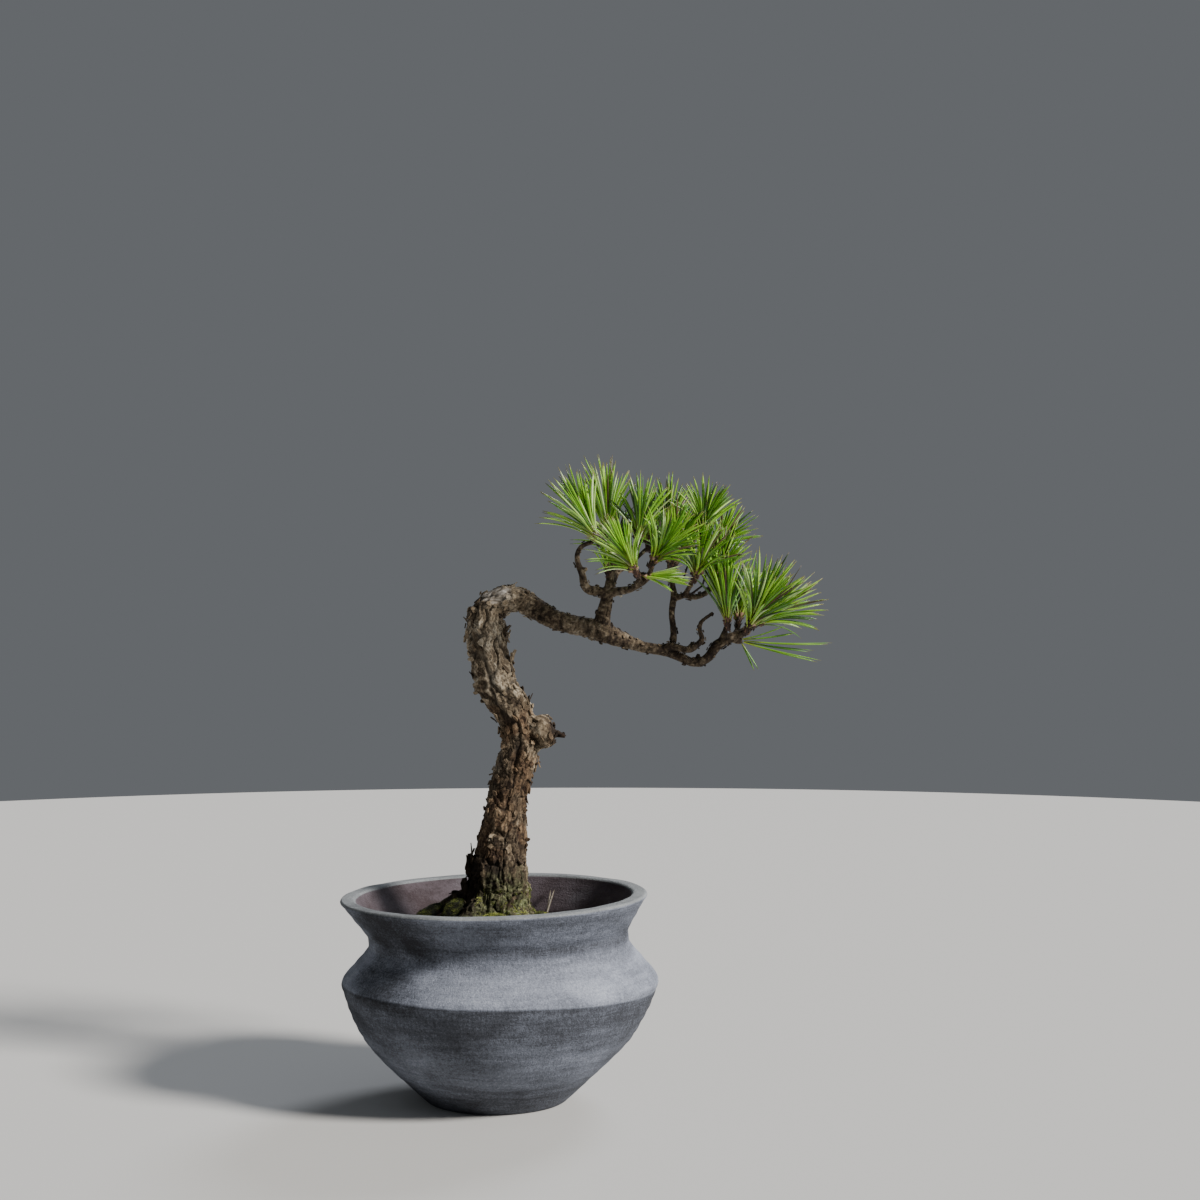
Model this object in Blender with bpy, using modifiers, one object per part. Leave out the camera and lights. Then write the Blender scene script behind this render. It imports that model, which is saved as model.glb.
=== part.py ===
"""A dwarf pine in a ridged, hand-thrown stoneware pot.

The pot holds a drain mesh with its wire clip, a layer of grit and a mound of soil. The wood of
the tree is one piece from the roots to the twigs, and each shoot carries its own tuft of needles.
Sizes are in millimetres and become metres where a mesh or curve is made. Positions are measured
from the pot's axis at the level of its foot, and at the end the whole plant is moved sideways so
that the origin is the centre of its bounding box on the ground.
"""

import math
import random

import bmesh
import bpy
import numpy as np
from mathutils import Matrix, Vector

MM = 0.001
SEED = 11
CLEARANCE = 0.4  # between pieces that touch

# ---- pot ----
POT_HEIGHT = 87.8
RIM_RADIUS = 67.3
LIP_WIDTH = 7.5
NECK_RADIUS = 54.0
NECK_HEIGHT = 68.5
RIDGE_RADIUS = 69.0
RIDGE_HEIGHT = 51.5
WALL = 6.6
FOOT_RADIUS = 30.5
FOOT_RING = 7.5
RECESS = 3.5
FLOOR_TOP = 9.0
DRAIN_RADIUS = 7.0
RIM_LEAN = 0.02  # rise of the rim per millimetre towards +X, as thrown
AXIS_DRIFT = [(0, 0), (12, 0), (51.5, 1.6), (68.5, 0.8), (88, -1.4)]  # height, shift towards +X
POT_STEPS = 44

# ---- filling ----
MESH_PITCH = 5.0
MESH_BAR = 1.6
MESH_CELLS = 5
MESH_THICKNESS = 1.0
WIRE_RADIUS = 0.5
GRIT_TOP = 19.0
GRIT_POCKET = 20.0
SOIL_LEVEL = 70.5
MOUND_HEIGHT = 14.5
MOUND_CENTRE = (-8.0, 5.0)
MOUND_SPREAD = (24.0, 22.0)

# ---- tree: each length of wood is points of x, y, z and the radius there ----
TRUNK = [
    (-1, 1, 56, 8), (-1, 1, 66, 13), (-0.5, 1, 77, 15.5), (0, 0.5, 86, 14.2), (1, 0, 97, 12.6),
    (2.2, 0, 108, 10.9), (3, 0.5, 119, 9.6), (4.5, 1, 130, 9.1), (7.5, 1, 142, 8.8),
    (10, 0.5, 152, 8.4), (9, 0, 161, 7.9), (5.2, -0.5, 169.5, 8.3), (0.6, -1, 176.5, 9),
    (-2.2, -1, 184, 8.9), (-3.6, -0.5, 192, 8.9), (-5, 0, 200, 9.2), (-4.6, 0.5, 207, 8.6),
    (-1.5, 0.5, 212.3, 7.4), (4, 0, 215, 6.5), (10.5, -0.5, 214, 5.6), (16.5, -1.5, 210.8, 4.9),
    (23, -2.5, 206.7, 4.4), (30, -3, 204.2, 4.2), (38, -3, 202.7, 4.3), (45, -2.5, 201.2, 4.9),
    (51, -1.5, 198.3, 3.9), (57, -0.5, 196, 3), (63, 0, 194, 2.5), (69, 0, 193, 2.4),
    (74, 1, 191.8, 2.3), (79, 1.5, 189.7, 2.1), (84, 1, 187.4, 2), (88, 0, 187.2, 2),
    (91.5, -1, 190, 2.2), (94.5, -1, 194.6, 2.4), (99, 0, 197.4, 2.4), (104, 1, 199, 2.2),
    (108, 1, 201.6, 1.8), (110.3, 0.5, 203.2, 1.4),
]
ROOTS = {
    "left": [
        (-2, 2, 89, 8), (-12, 5, 84.5, 6.5), (-22, 8, 79.5, 4.6), (-31, 11, 72.5, 3), (-37, 13, 64, 1.8),
    ],
    "front_left": [(-3, -2, 86, 8), (-10, -13, 79, 5.4), (-17, -22, 72, 3.6), (-22, -30, 63, 2)],
    "front_right": [(3, -3, 82, 8), (12, -12, 74.5, 5), (20, -19, 68.5, 3.4), (27, -25, 60, 2)],
    "right": [(3, 2, 83, 8), (13, 6, 75, 5.4), (23, 11, 69.5, 3.6), (32, 15, 61, 2)],
    "back": [(0, 3, 88, 8), (-2, 15, 81.5, 5.6), (-5, 26, 74, 3.8), (-8, 36, 64, 2)],
}
BRANCHES = {
    "first_stem": [(45, -2.5, 200, 4.2), (45.6, -3, 207, 3.5), (47, -4, 213, 2.9), (47.4, -5, 218, 2.6)],
    "first_leader": [
        (47.2, -4.5, 214, 2.4), (48.2, -5, 220, 2.1), (49, -4, 226, 1.8), (48.4, -3.5, 232, 1.4),
        (49.2, -4, 239, 1.1),
    ],
    "first_left": [
        (47, -5, 217, 2.2), (43.5, -7, 218.2, 2.2), (40.3, -8, 218.4, 2.2), (37.8, -9.5, 220.4, 2),
        (37, -10.5, 224.5, 1.6), (35.3, -11, 229, 1.4), (34.6, -12, 233.5, 1.3), (36.8, -13, 237.3, 1.2),
        (41.6, -14, 239, 1.1),
    ],
    "first_right": [
        (47.4, -5, 217, 2), (52, -8, 218, 2), (56.5, -12, 218.7, 1.7), (60.2, -16, 220.4, 1.5),
        (64, -19, 223, 1.4), (66.6, -21.5, 228.6, 1),
    ],
    "first_front": [(59.5, -15.5, 220.2, 1.5), (60.8, -20.5, 223, 1.2), (60, -24.6, 225.8, 1)],
    "first_back": [
        (47.8, -4, 218.6, 1.9), (50.5, 4, 223.5, 1.6), (52.5, 12, 229, 1.3), (53.3, 20.3, 233.6, 1),
    ],
    "first_back_right": [(51.5, 8, 226.3, 1.4), (58, 14, 230.5, 1.2), (64.8, 19, 236.8, 1)],
    "first_inner": [(48.9, -4, 228.5, 1.4), (54, -6.5, 233.5, 1.2), (60.3, -9.5, 238, 1)],
    "second_stem": [
        (75.3, 1, 191.5, 1.8), (76.3, 1.5, 200, 1.6), (75.4, 2, 207.5, 1.5), (76, 2.5, 213.5, 1.6),
        (76.8, 2.5, 217.5, 1.6),
    ],
    "second_leader": [
        (76.6, 2.5, 216, 1.5), (75.6, 4, 222, 1.4), (74.6, 8, 229, 1.2), (74.2, 11.4, 238, 1),
    ],
    "second_front": [(75.6, 4, 222, 1.3), (75.8, -1.5, 226, 1.1), (75.3, -6.8, 229.4, 0.9)],
    "second_back": [(75, 6.5, 226.5, 1.3), (78, 15, 230.5, 1.2), (81.6, 24, 235.4, 1)],
    "second_middle": [
        (76.4, 2.5, 215, 1.4), (80.5, 0.5, 216.3, 1.4), (82.4, -2, 219, 1.2), (84.4, -5, 223, 1),
    ],
    "second_upper": [(83.2, -3, 220.2, 1.1), (86.5, 0, 229, 1.2), (88.2, 3, 237, 1.1), (89, 4, 243, 1)],
    "second_right": [
        (80.8, 0.5, 216.4, 1.3), (85.6, 1.5, 215.6, 1.4), (90, 2.5, 217.2, 1.3), (93.2, 2.5, 220, 1),
    ],
    "second_outer": [(91, 2.5, 217.8, 1.2), (94.5, 8, 226, 1.1), (95, 12.6, 236, 1)],
    "third_stem": [
        (71, 0, 193.4, 1.9), (75.5, -2, 194.6, 1.7), (79.5, -3.5, 193.3, 1.6), (83, -5, 193, 1.6),
        (86.2, -6, 195.2, 1.5), (88.2, -7, 197.6, 1.3), (87, -8, 201, 1.1), (87.4, -9, 204.6, 1),
        (90, -10, 207, 0.9), (92.8, -10.5, 208.8, 0.9),
    ],
    "end_inner": [(96.5, -0.5, 196, 1.9), (98, -1.5, 200, 1.4), (98.6, -2, 203, 1.1)],
    "end_back": [(101.5, 0.5, 198, 1.7), (103.4, 4.5, 200.3, 1.3), (104.2, 7.4, 202.3, 1)],
    "end_front": [(105, 0, 199.6, 1.7), (107, -4, 200.7, 1.3), (108.3, -6.8, 201.6, 1)],
    "end_low": [(101, 1, 198, 1.6), (103.5, 1.8, 196.4, 1.3), (106, 2.6, 196.2, 1.1)],
}
KNOB = {"centre": (19.2, -1, 157.5), "radii": (6.4, 7.2, 7.8)}
STUBS = {
    "dead_stub": [(22, -1, 156.8, 2.4), (26.5, -1.4, 156.9, 1.7), (29.6, -1.8, 156, 1.2)],
    "pruned_left": [(-4, -3, 177, 4.6), (-7, -5, 176.6, 3.8), (-8.7, -6.2, 176.2, 2.8)],
    "bough_nub": [(83, -3.5, 193.2, 1.6), (84.6, -3.6, 196, 1.1)],
    "lower_nub": [(86, 0.5, 187.3, 1.6), (87, 0.5, 191.2, 0.9)],
    "left_nub": [(36.4, -10.8, 227, 1.3), (39.2, -10.8, 227.6, 0.9)],
    "base_spur": [(-9, 0, 92, 3), (-11.6, -0.5, 99, 2.2), (-11.8, -0.5, 105, 1.2)],
}

# ---- shoots: where each leaves its twig, which way it grows, needle length and spread in degrees ----
SHOOTS = {
    "needles_left_outer": ((42.9, -14.3, 240.1), (-0.6, -0.2, 0.78), 33, 46),
    "needles_left_top": ((49.5, -4, 240.6), (0.02, 0.05, 1), 35, 40),
    "needles_inner_top": ((61.5, -10.1, 239.2), (0.1, -0.1, 1), 29, 46),
    "needles_front": ((59.7, -26, 226.5), (-0.5, -0.35, 0.8), 32, 58),
    "needles_front_right": ((67.4, -22.3, 230), (0.7, -0.3, 0.55), 30, 62),
    "needles_back_left": ((53.5, 21.6, 234.4), (-0.3, 0.5, 0.85), 31, 54),
    "needles_back_middle": ((65.7, 19.8, 238), (0, 0.35, 0.95), 30, 52),
    "needles_middle_top": ((74.2, 11.8, 239.6), (0, 0.15, 1), 29, 46),
    "needles_middle_front": ((75.2, -8.2, 230.3), (0.05, -0.5, 0.85), 31, 60),
    "needles_back_right": ((82.4, 25.3, 236.2), (0.25, 0.6, 0.8), 29, 54),
    "needles_crown_right": ((89.2, 4.2, 244.7), (0.25, -0.1, 1), 24, 58),
    "needles_crown_outer": ((95.2, 13.2, 237.5), (0.6, 0.25, 0.8), 25, 54),
    "needles_under_crown": ((85.1, -6.2, 224.1), (0.35, -0.4, 0.85), 30, 60),
    "needles_right_shoulder": ((94.3, 2.6, 221.1), (0.4, -0.05, 0.85), 28, 50),
    "needles_end_inner": ((98.8, -2.2, 204.6), (-0.1, -0.1, 1), 34, 44),
    "needles_end_back": ((104.6, 8.6, 203.3), (0.2, 0.5, 0.85), 32, 52),
    "needles_end_front": ((108.9, -8, 202.4), (0.5, -0.5, 0.75), 32, 54),
    "needles_end_tip": ((111.4, 0.3, 204.2), (0.76, 0.02, 0.65), 31, 50),
    "needles_end_low": ((106.8, 2.8, 196.3), (0.99, 0, 0), 38.5, 22),
}
SHOOT_RADIUS = 1.7
NEEDLE_GAP = 1.5  # least distance between the middles of two needles of different tufts
NEEDLE_TIP = 0.55  # width of a needle's tip as a share of its foot
NEEDLE_GATHER = 0.25  # how far the needles bend in towards the shoot's own direction

# ---- moss: centre, half sizes across, and thickness ----
MOSS = {
    "moss_front": ((1, -19.5), (9, 4.2), 6.5),
    "moss_front_left": ((-17.5, -8), (6.5, 6), 5),
    "moss_left": ((-30, 1), (7.5, 5), 4),
    "moss_right": ((20.5, -4), (5.5, 6.5), 5.5),
    "moss_back_left": ((-15, 21), (7, 5.5), 4.5),
    "moss_back": ((9.5, 21.5), (8, 5), 4.5),
}
FALLEN_PAIR = {"foot": (20.4, 24, 73.7), "tips": [(21.8, 50, 82), (23.6, 49.2, 82.2)], "radius": 0.6}

COLOURS = {  # linear red, green, blue, then roughness and metallic
    "stoneware": ((0.13, 0.14, 0.17), 0.85, 0.0),
    "bark": ((0.09, 0.062, 0.045), 0.9, 0.0),
    "needle": ((0.10, 0.27, 0.03), 0.45, 0.0),
    "dry_needle": ((0.33, 0.22, 0.11), 0.6, 0.0),
    "moss": ((0.10, 0.14, 0.025), 0.95, 0.0),
    "soil": ((0.035, 0.024, 0.018), 0.95, 0.0),
    "grit": ((0.32, 0.29, 0.25), 0.9, 0.0),
    "plastic_net": ((0.02, 0.02, 0.02), 0.6, 0.0),
    "wire": ((0.42, 0.42, 0.43), 0.35, 1.0),
}


# ---- small helpers ----
def material(name):
    found = bpy.data.materials.get(name)
    if found:
        return found
    colour, roughness, metallic = COLOURS[name]
    made = bpy.data.materials.new(name)
    made.use_nodes = True
    shader = made.node_tree.nodes["Principled BSDF"]
    shader.inputs["Base Color"].default_value = (*colour, 1)
    shader.inputs["Roughness"].default_value = roughness
    shader.inputs["Metallic"].default_value = metallic
    return made


def add_mesh(name, mesh, finish, where, smooth=True):
    obj = bpy.data.objects.new(name, mesh)
    where.objects.link(obj)
    mesh.materials.clear()
    mesh.materials.append(material(finish))
    if smooth:
        mesh.shade_smooth()
        mesh.set_sharp_from_angle(angle=math.radians(40))
    return obj


def frozen(obj):
    """A closed mesh of the object as it is evaluated, welded and facing out. The object is removed."""
    bpy.context.view_layer.update()
    graph = bpy.context.evaluated_depsgraph_get()
    mesh = bpy.data.meshes.new_from_object(obj.evaluated_get(graph))
    mesh.transform(obj.matrix_world)
    bpy.data.objects.remove(obj, do_unlink=True)
    shape = bmesh.new()
    shape.from_mesh(mesh)
    bmesh.ops.remove_doubles(shape, verts=shape.verts, dist=1e-6)
    if shape.calc_volume(signed=True) < 0:
        bmesh.ops.reverse_faces(shape, faces=shape.faces)
    shape.to_mesh(mesh)
    shape.free()
    return mesh


def catmull_rom(points, steps):
    """A smooth line through the points, with this many steps from each to the next."""
    line = [np.array(p, float) for p in points]
    line = [2 * line[0] - line[1], *line, 2 * line[-1] - line[-2]]
    made = []
    for a, b, c, d in zip(line, line[1:], line[2:], line[3:]):
        for i in range(steps):
            t = i / steps
            bend = (2 * a - 5 * b + 4 * c - d) * t**2 + (3 * b - a - 3 * c + d) * t**3
            made.append(b + 0.5 * ((c - a) * t + bend))
    return [*made, line[-2]]


def rounded(corners, degrees_per_step=24):
    """An outline through (x, z, radius) corners, each one an arc of that radius."""
    made = []
    for i, (x, z, radius) in enumerate(corners):
        here = Vector((x, z))
        if radius == 0 or i in (0, len(corners) - 1):
            made.append(here)
            continue
        back = (Vector(corners[i - 1][:2]) - here).normalized()
        ahead = (Vector(corners[i + 1][:2]) - here).normalized()
        half = back.angle(ahead) / 2
        inward = (back + ahead).normalized()
        centre = here + inward * (radius / math.sin(half))
        first = here + back * (radius / math.tan(half)) - centre
        turn = first.angle_signed(here + ahead * (radius / math.tan(half)) - centre)
        steps = max(1, round(math.degrees(abs(turn)) / degrees_per_step))
        for k in range(steps + 1):
            made.append(centre + Matrix.Rotation(-turn * k / steps, 2) @ first)
    return made


def turned(name, outline):
    """The mesh of a (radius, height) outline turned about Z, closed unless it ends on the axis."""
    guide = bpy.data.meshes.new(name)
    points = [(p[0] * MM, 0, p[1] * MM) for p in outline]
    last = len(points) - (outline[0][0] == 0)
    guide.from_pydata(points, [(i, (i + 1) % len(points)) for i in range(last)], [])
    obj = bpy.data.objects.new(name, guide)
    bpy.context.scene.collection.objects.link(obj)
    screw = obj.modifiers.new("Turn", "SCREW")
    screw.axis = "Z"
    screw.angle = math.tau
    screw.steps = screw.render_steps = POT_STEPS
    screw.use_merge_vertices = True
    screw.merge_threshold = 1e-5
    return frozen(obj)


def lean(mesh):
    """Shifts the wall of the pot, and what fills it, and tips the rim, as the thrown clay settled."""
    heights, shifts = zip(*AXIS_DRIFT)
    for vertex in mesh.vertices:
        height = vertex.co.z / MM
        t = min(1, max(0, (height - 46) / 26))
        vertex.co.z += vertex.co.x * RIM_LEAN * t * t * (3 - 2 * t)
        vertex.co.x += float(np.interp(height, heights, shifts)) * MM
    return mesh


# ---- pot ----
def inner_wall(gap=0.0):
    """Corners of the inside of the wall, from the floor up to the neck, pulled in by the gap."""
    return [
        (26 - gap, FLOOR_TOP, 0), (36 - gap, 14, 24), (45 - gap, 22.5, 30), (53.5 - gap, 33, 40),
        (58.8 - gap, 43, 30), (RIDGE_RADIUS - WALL - gap, RIDGE_HEIGHT + 0.5, 5),
        (NECK_RADIUS - WALL - gap, NECK_HEIGHT, 8),
    ]


def pot(parts):
    outline = rounded([
        (RIM_RADIUS - LIP_WIDTH / 2, POT_HEIGHT, 0),
        (RIM_RADIUS, POT_HEIGHT, 1.2), (NECK_RADIUS, NECK_HEIGHT, 8), (RIDGE_RADIUS, RIDGE_HEIGHT, 4),
        (64.4, 38.5, 30), (58.4, 27.3, 40), (49.2, 17.3, 50), (38.6, 7.4, 30),
        (FOOT_RADIUS, 0, 1.4), (FOOT_RADIUS - FOOT_RING, 0, 0.8),
        (FOOT_RADIUS - FOOT_RING - 1, RECESS, 0.8), (DRAIN_RADIUS, RECESS, 0), (DRAIN_RADIUS, FLOOR_TOP, 0),
        *inner_wall(),
        (RIM_RADIUS - LIP_WIDTH, POT_HEIGHT, 2),
        (RIM_RADIUS - LIP_WIDTH / 2, POT_HEIGHT, 0),
    ])[:-1]
    return add_mesh("pot", lean(turned("pot", outline)), "stoneware", parts)


# ---- drain mesh, its clip and the grit over them ----
def drain_mesh(parts):
    net = bmesh.new()
    side = MESH_CELLS * MESH_PITCH
    bmesh.ops.create_grid(net, x_segments=MESH_CELLS, y_segments=MESH_CELLS, size=side / 2 * MM)
    made = bmesh.ops.inset_individual(net, faces=net.faces[:], thickness=MESH_BAR / 2 * MM)
    rims = set(made["faces"])
    bmesh.ops.delete(net, geom=[f for f in net.faces if f not in rims], context="FACES_ONLY")
    bmesh.ops.translate(net, verts=net.verts, vec=(0, 0, (FLOOR_TOP + CLEARANCE) * MM))
    bmesh.ops.recalc_face_normals(net, faces=net.faces)
    mesh = bpy.data.meshes.new("drain_mesh")
    net.to_mesh(mesh)
    net.free()
    obj = add_mesh("drain_mesh", mesh, "plastic_net", parts, smooth=False)
    thick = obj.modifiers.new("Thickness", "SOLIDIFY")
    thick.thickness = MESH_THICKNESS * MM
    thick.offset = 1 if mesh.polygons[0].normal.z > 0 else -1


def wire_tube(name, points, radius, sides):
    """A curve object of one POLY spline; each point may carry its own radius as a fourth number."""
    data = bpy.data.curves.new(name, "CURVE")
    data.dimensions = "3D"
    data.bevel_depth = MM
    data.bevel_resolution = (sides - 4) // 2
    data.use_fill_caps = True
    spline = data.splines.new("POLY")
    spline.points.add(len(points) - 1)
    for point, place in zip(spline.points, points):
        point.co = (*[c * MM for c in place[:3]], 1)
        point.radius = place[3] if radius is None else radius
    obj = bpy.data.objects.new(name, data)
    bpy.context.scene.collection.objects.link(obj)
    return obj


def mesh_clip(parts):
    """A staple: its bridge lies on the net, and its legs go down the drain hole and turn outwards."""
    leg = MESH_PITCH
    bridge = FLOOR_TOP + CLEARANCE + MESH_THICKNESS + CLEARANCE + WIRE_RADIUS
    low = RECESS - CLEARANCE - WIRE_RADIUS
    outline = rounded([
        (-14, low - 0.3, 0), (-leg, low, 1.3), (-leg, bridge, 1.3), (leg, bridge, 1.3),
        (leg, low, 1.3), (14, low - 0.3, 0),
    ], 30)
    obj = wire_tube("mesh_clip", [(p.x, 0, p.y) for p in outline], WIRE_RADIUS, 8)
    add_mesh("mesh_clip", frozen(obj), "wire", parts)


def grit_layer(parts):
    wall = rounded(inner_wall(CLEARANCE + 0.1))
    side = [p for p in wall if FLOOR_TOP + 1 < p.y < GRIT_TOP - 1]
    low, high = (26.0, FLOOR_TOP + CLEARANCE), (41.0, GRIT_TOP)
    pocket = FLOOR_TOP + MESH_THICKNESS + 2 * WIRE_RADIUS + 4 * CLEARANCE
    outline = [
        (0.0, GRIT_TOP), high, *reversed(side), low,
        (GRIT_POCKET, low[1]), (GRIT_POCKET, pocket), (0.0, pocket),
    ]
    add_mesh("grit_layer", lean(turned("grit_layer", outline)), "grit", parts, smooth=False)


# ---- soil ----
def soil_height(x, y):
    across = ((x - MOUND_CENTRE[0]) / MOUND_SPREAD[0]) ** 2 + ((y - MOUND_CENTRE[1]) / MOUND_SPREAD[1]) ** 2
    return SOIL_LEVEL + MOUND_HEIGHT * math.exp(-across)


def draped(name, half_x, half_y, cells, low, high, oval=False):
    """A closed block over a grid: low(x, y) and high(x, y) give its underside and top, in millimetres."""
    shape = bmesh.new()
    bmesh.ops.create_grid(shape, x_segments=cells, y_segments=cells, size=1)
    grown = bmesh.ops.extrude_face_region(shape, geom=shape.faces[:])
    tops = {v for v in grown["geom"] if isinstance(v, bmesh.types.BMVert)}
    for v in shape.verts:
        u, w = v.co.x, v.co.y
        x = u * half_x * (math.sqrt(1 - w * w / 2) if oval else 1)
        y = w * half_y * (math.sqrt(1 - u * u / 2) if oval else 1)
        v.co = Vector((x, y, (high if v in tops else low)(x, y))) * MM
    bmesh.ops.recalc_face_normals(shape, faces=shape.faces)
    mesh = bpy.data.meshes.new(name)
    shape.to_mesh(mesh)
    shape.free()
    return mesh


def boolean(obj, other, operation, keep=False):
    """Applies one Boolean, then removes the object it was joined or cut with unless that is kept."""
    step = obj.modifiers.new("Boolean", "BOOLEAN")
    step.operation = operation
    step.use_self = True
    step.object = other
    refreshed(obj)
    if not keep:
        bpy.data.objects.remove(other, do_unlink=True)


def refreshed(obj):
    """The same object with its modifiers applied."""
    bpy.context.view_layer.update()
    graph = bpy.context.evaluated_depsgraph_get()
    mesh = bpy.data.meshes.new_from_object(obj.evaluated_get(graph))
    obj.modifiers.clear()
    obj.data = mesh


def soil(parts, cutters, buried):
    wall = [p for p in rounded(inner_wall(CLEARANCE + 0.1)) if p.y > GRIT_TOP + 1.5]
    low = GRIT_TOP + CLEARANCE
    outline = [
        (0.0, POT_HEIGHT), (NECK_RADIUS - WALL + 6, POT_HEIGHT), *reversed(wall), (40.0, low), (0.0, low),
    ]
    body = add_mesh("soil", lean(turned("soil", outline)), "soil", parts, smooth=False)
    sky = draped("sky", NECK_RADIUS + 8, NECK_RADIUS + 8, 20, soil_height, lambda x, y: POT_HEIGHT + 12)
    boolean(body, add_mesh("sky", sky, "soil", cutters), "DIFFERENCE")
    boolean(body, buried, "DIFFERENCE", keep=True)


# ---- wood ----
def wood_lines():
    """Every length of wood as a smooth line: name, its points with radii, and the sides of its tube."""
    lines = [("trunk", catmull_rom(TRUNK, 1), 14)]
    lines += [(name, catmull_rom(points, 2), 10) for name, points in ROOTS.items()]
    lines += [(name, catmull_rom(points, 2), 8) for name, points in BRANCHES.items()]
    lines += [(name, catmull_rom(points, 1), 8) for name, points in STUBS.items()]
    return lines


def wood_tubes(where, grow=0.0, buried=False):
    """A closed mesh object for each length of wood, or only for those that reach the soil."""
    made = []
    for name, line, sides in wood_lines():
        if buried and name not in ROOTS and name != "trunk":
            continue
        if buried and name == "trunk":
            line = line[:6]
            line[0] = line[0] - np.array([0, 0, grow, 0])
        grown = [(*p[:3], p[3] + grow) for p in line]
        if buried and name != "trunk":
            tail = np.array(line[-1][:3]) - np.array(line[-2][:3])
            end = np.array(line[-1][:3]) + tail / np.linalg.norm(tail) * grow
            grown[-1] = (*end, line[-1][3] + grow)
        made.append(add_mesh(name, frozen(wire_tube(name, grown, None, sides)), "bark", where))
    return made


def buried_wood(cutters):
    """The foot of the trunk and the roots, grown by the clearance, to cut what lies round them."""
    trunk, *roots = wood_tubes(cutters, CLEARANCE, buried=True)
    for root in roots:
        boolean(trunk, root, "UNION")
    return trunk


def wood(parts, cutters):
    trunk, *rest = wood_tubes(cutters)
    cutters.objects.unlink(trunk)
    parts.objects.link(trunk)
    trunk.name = "trunk_and_branches"
    shape = bmesh.new()
    bmesh.ops.create_icosphere(shape, subdivisions=2, radius=MM)
    bmesh.ops.scale(shape, verts=shape.verts, vec=KNOB["radii"])
    bmesh.ops.translate(shape, verts=shape.verts, vec=Vector(KNOB["centre"]) * MM)
    knob = bpy.data.meshes.new("knob")
    shape.to_mesh(knob)
    shape.free()
    for length in [*rest, add_mesh("knob", knob, "bark", cutters)]:
        boolean(trunk, length, "UNION")
    trunk.data.shade_smooth()


# ---- shoots and their needles ----
def gaps_to(start, end, starts, ends):
    """The distances from one straight segment to each of many."""
    u, v, w = end - start, ends - starts, start - starts
    a, b, c = u @ u, v @ u, (v * v).sum(1)
    d, e = w @ u, (v * w).sum(1)
    s = np.clip((b * e - c * d) / np.maximum(a * c - b * b, 1e-9), 0, 1)
    t = np.clip((b * s + e) / np.maximum(c, 1e-9), 0, 1)
    s = np.clip((b * t - d) / a, 0, 1)
    return np.linalg.norm(w + s[:, None] * u - t[:, None] * v, axis=1)


def wood_segments():
    """The straight stretches of the wood: their starts, ends and radii."""
    starts, ends, radii = [], [], []
    for _, line, _ in wood_lines():
        for p, q in zip(line, line[1:]):
            starts.append(p[:3])
            ends.append(q[:3])
            radii.append(max(p[3], q[3]))
    return np.array(starts), np.array(ends), np.array(radii)


def needle_tufts(parts):
    """Each tuft is a short shoot whose facets are drawn out into needles that keep clear of the rest."""
    rng = random.Random(SEED)
    wood_starts, wood_ends, wood_radii = wood_segments()
    cores = {
        name: Vector(base) + Vector(way).normalized() * SHOOT_RADIUS
        for name, (base, way, _, _) in SHOOTS.items()
    }
    grown_starts, grown_ends = np.zeros((0, 3)), np.zeros((0, 3))
    for name, (_, way, length, spread) in SHOOTS.items():
        core, axis = cores[name], Vector(way).normalized()
        others = np.array([cores[n] for n in cores if n != name])
        own_starts, own_ends = [], []
        tuft = bmesh.new()
        bmesh.ops.create_icosphere(tuft, subdivisions=2, radius=SHOOT_RADIUS)
        bmesh.ops.rotate(tuft, verts=tuft.verts, matrix=axis.to_track_quat("Z", "Y").to_matrix())
        bmesh.ops.translate(tuft, verts=tuft.verts, vec=core)
        for face in tuft.faces[:]:
            aim = (face.normal + NEEDLE_GATHER * axis).normalized()
            if aim.angle(axis) > math.radians(spread):
                continue
            reach = length * rng.uniform(0.88, 1)
            foot = np.array(face.calc_center_median())
            tip = foot + np.array(aim) * reach
            past_foot = foot + np.array(aim) * 3
            gaps = [
                gaps_to(foot, tip, grown_starts, grown_ends) - NEEDLE_GAP,
                gaps_to(past_foot, tip, wood_starts, wood_ends) - wood_radii - 0.9,
                gaps_to(foot, tip, others, others + 1e-6) - SHOOT_RADIUS - 1,
            ]
            if np.concatenate(gaps).min() < 0:
                continue
            own_starts.append(foot)
            own_ends.append(tip)
            drawn = bmesh.ops.extrude_discrete_faces(tuft, faces=[face])["faces"][0]
            middle = drawn.calc_center_median()
            for v in drawn.verts:
                v.co = middle + (v.co - middle) * NEEDLE_TIP + aim * reach
        grown_starts = np.concatenate([grown_starts, own_starts])
        grown_ends = np.concatenate([grown_ends, own_ends])
        bmesh.ops.scale(tuft, verts=tuft.verts, vec=(MM, MM, MM))
        bmesh.ops.recalc_face_normals(tuft, faces=tuft.faces)
        mesh = bpy.data.meshes.new(name)
        tuft.to_mesh(mesh)
        tuft.free()
        add_mesh(name, mesh, "needle", parts, smooth=False)


def fallen_needles(parts, cutters):
    """A dry pair, joined at its sheath, that leans on the inside of the pot."""
    foot, radius = FALLEN_PAIR["foot"], FALLEN_PAIR["radius"]
    blades = []
    for i, tip in enumerate(FALLEN_PAIR["tips"]):
        middle = [(a + b) / 2 for a, b in zip(foot, tip)]
        line = [(*foot, radius * 1.3), (*middle, radius), (*tip, radius * 0.6)]
        tube = frozen(wire_tube("blade", line, None, 8))
        blades.append(add_mesh(f"blade_{i}", tube, "dry_needle", cutters))
    first, second = blades
    cutters.objects.unlink(first)
    parts.objects.link(first)
    first.name = "fallen_needle_pair"
    boolean(first, second, "UNION")


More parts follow.
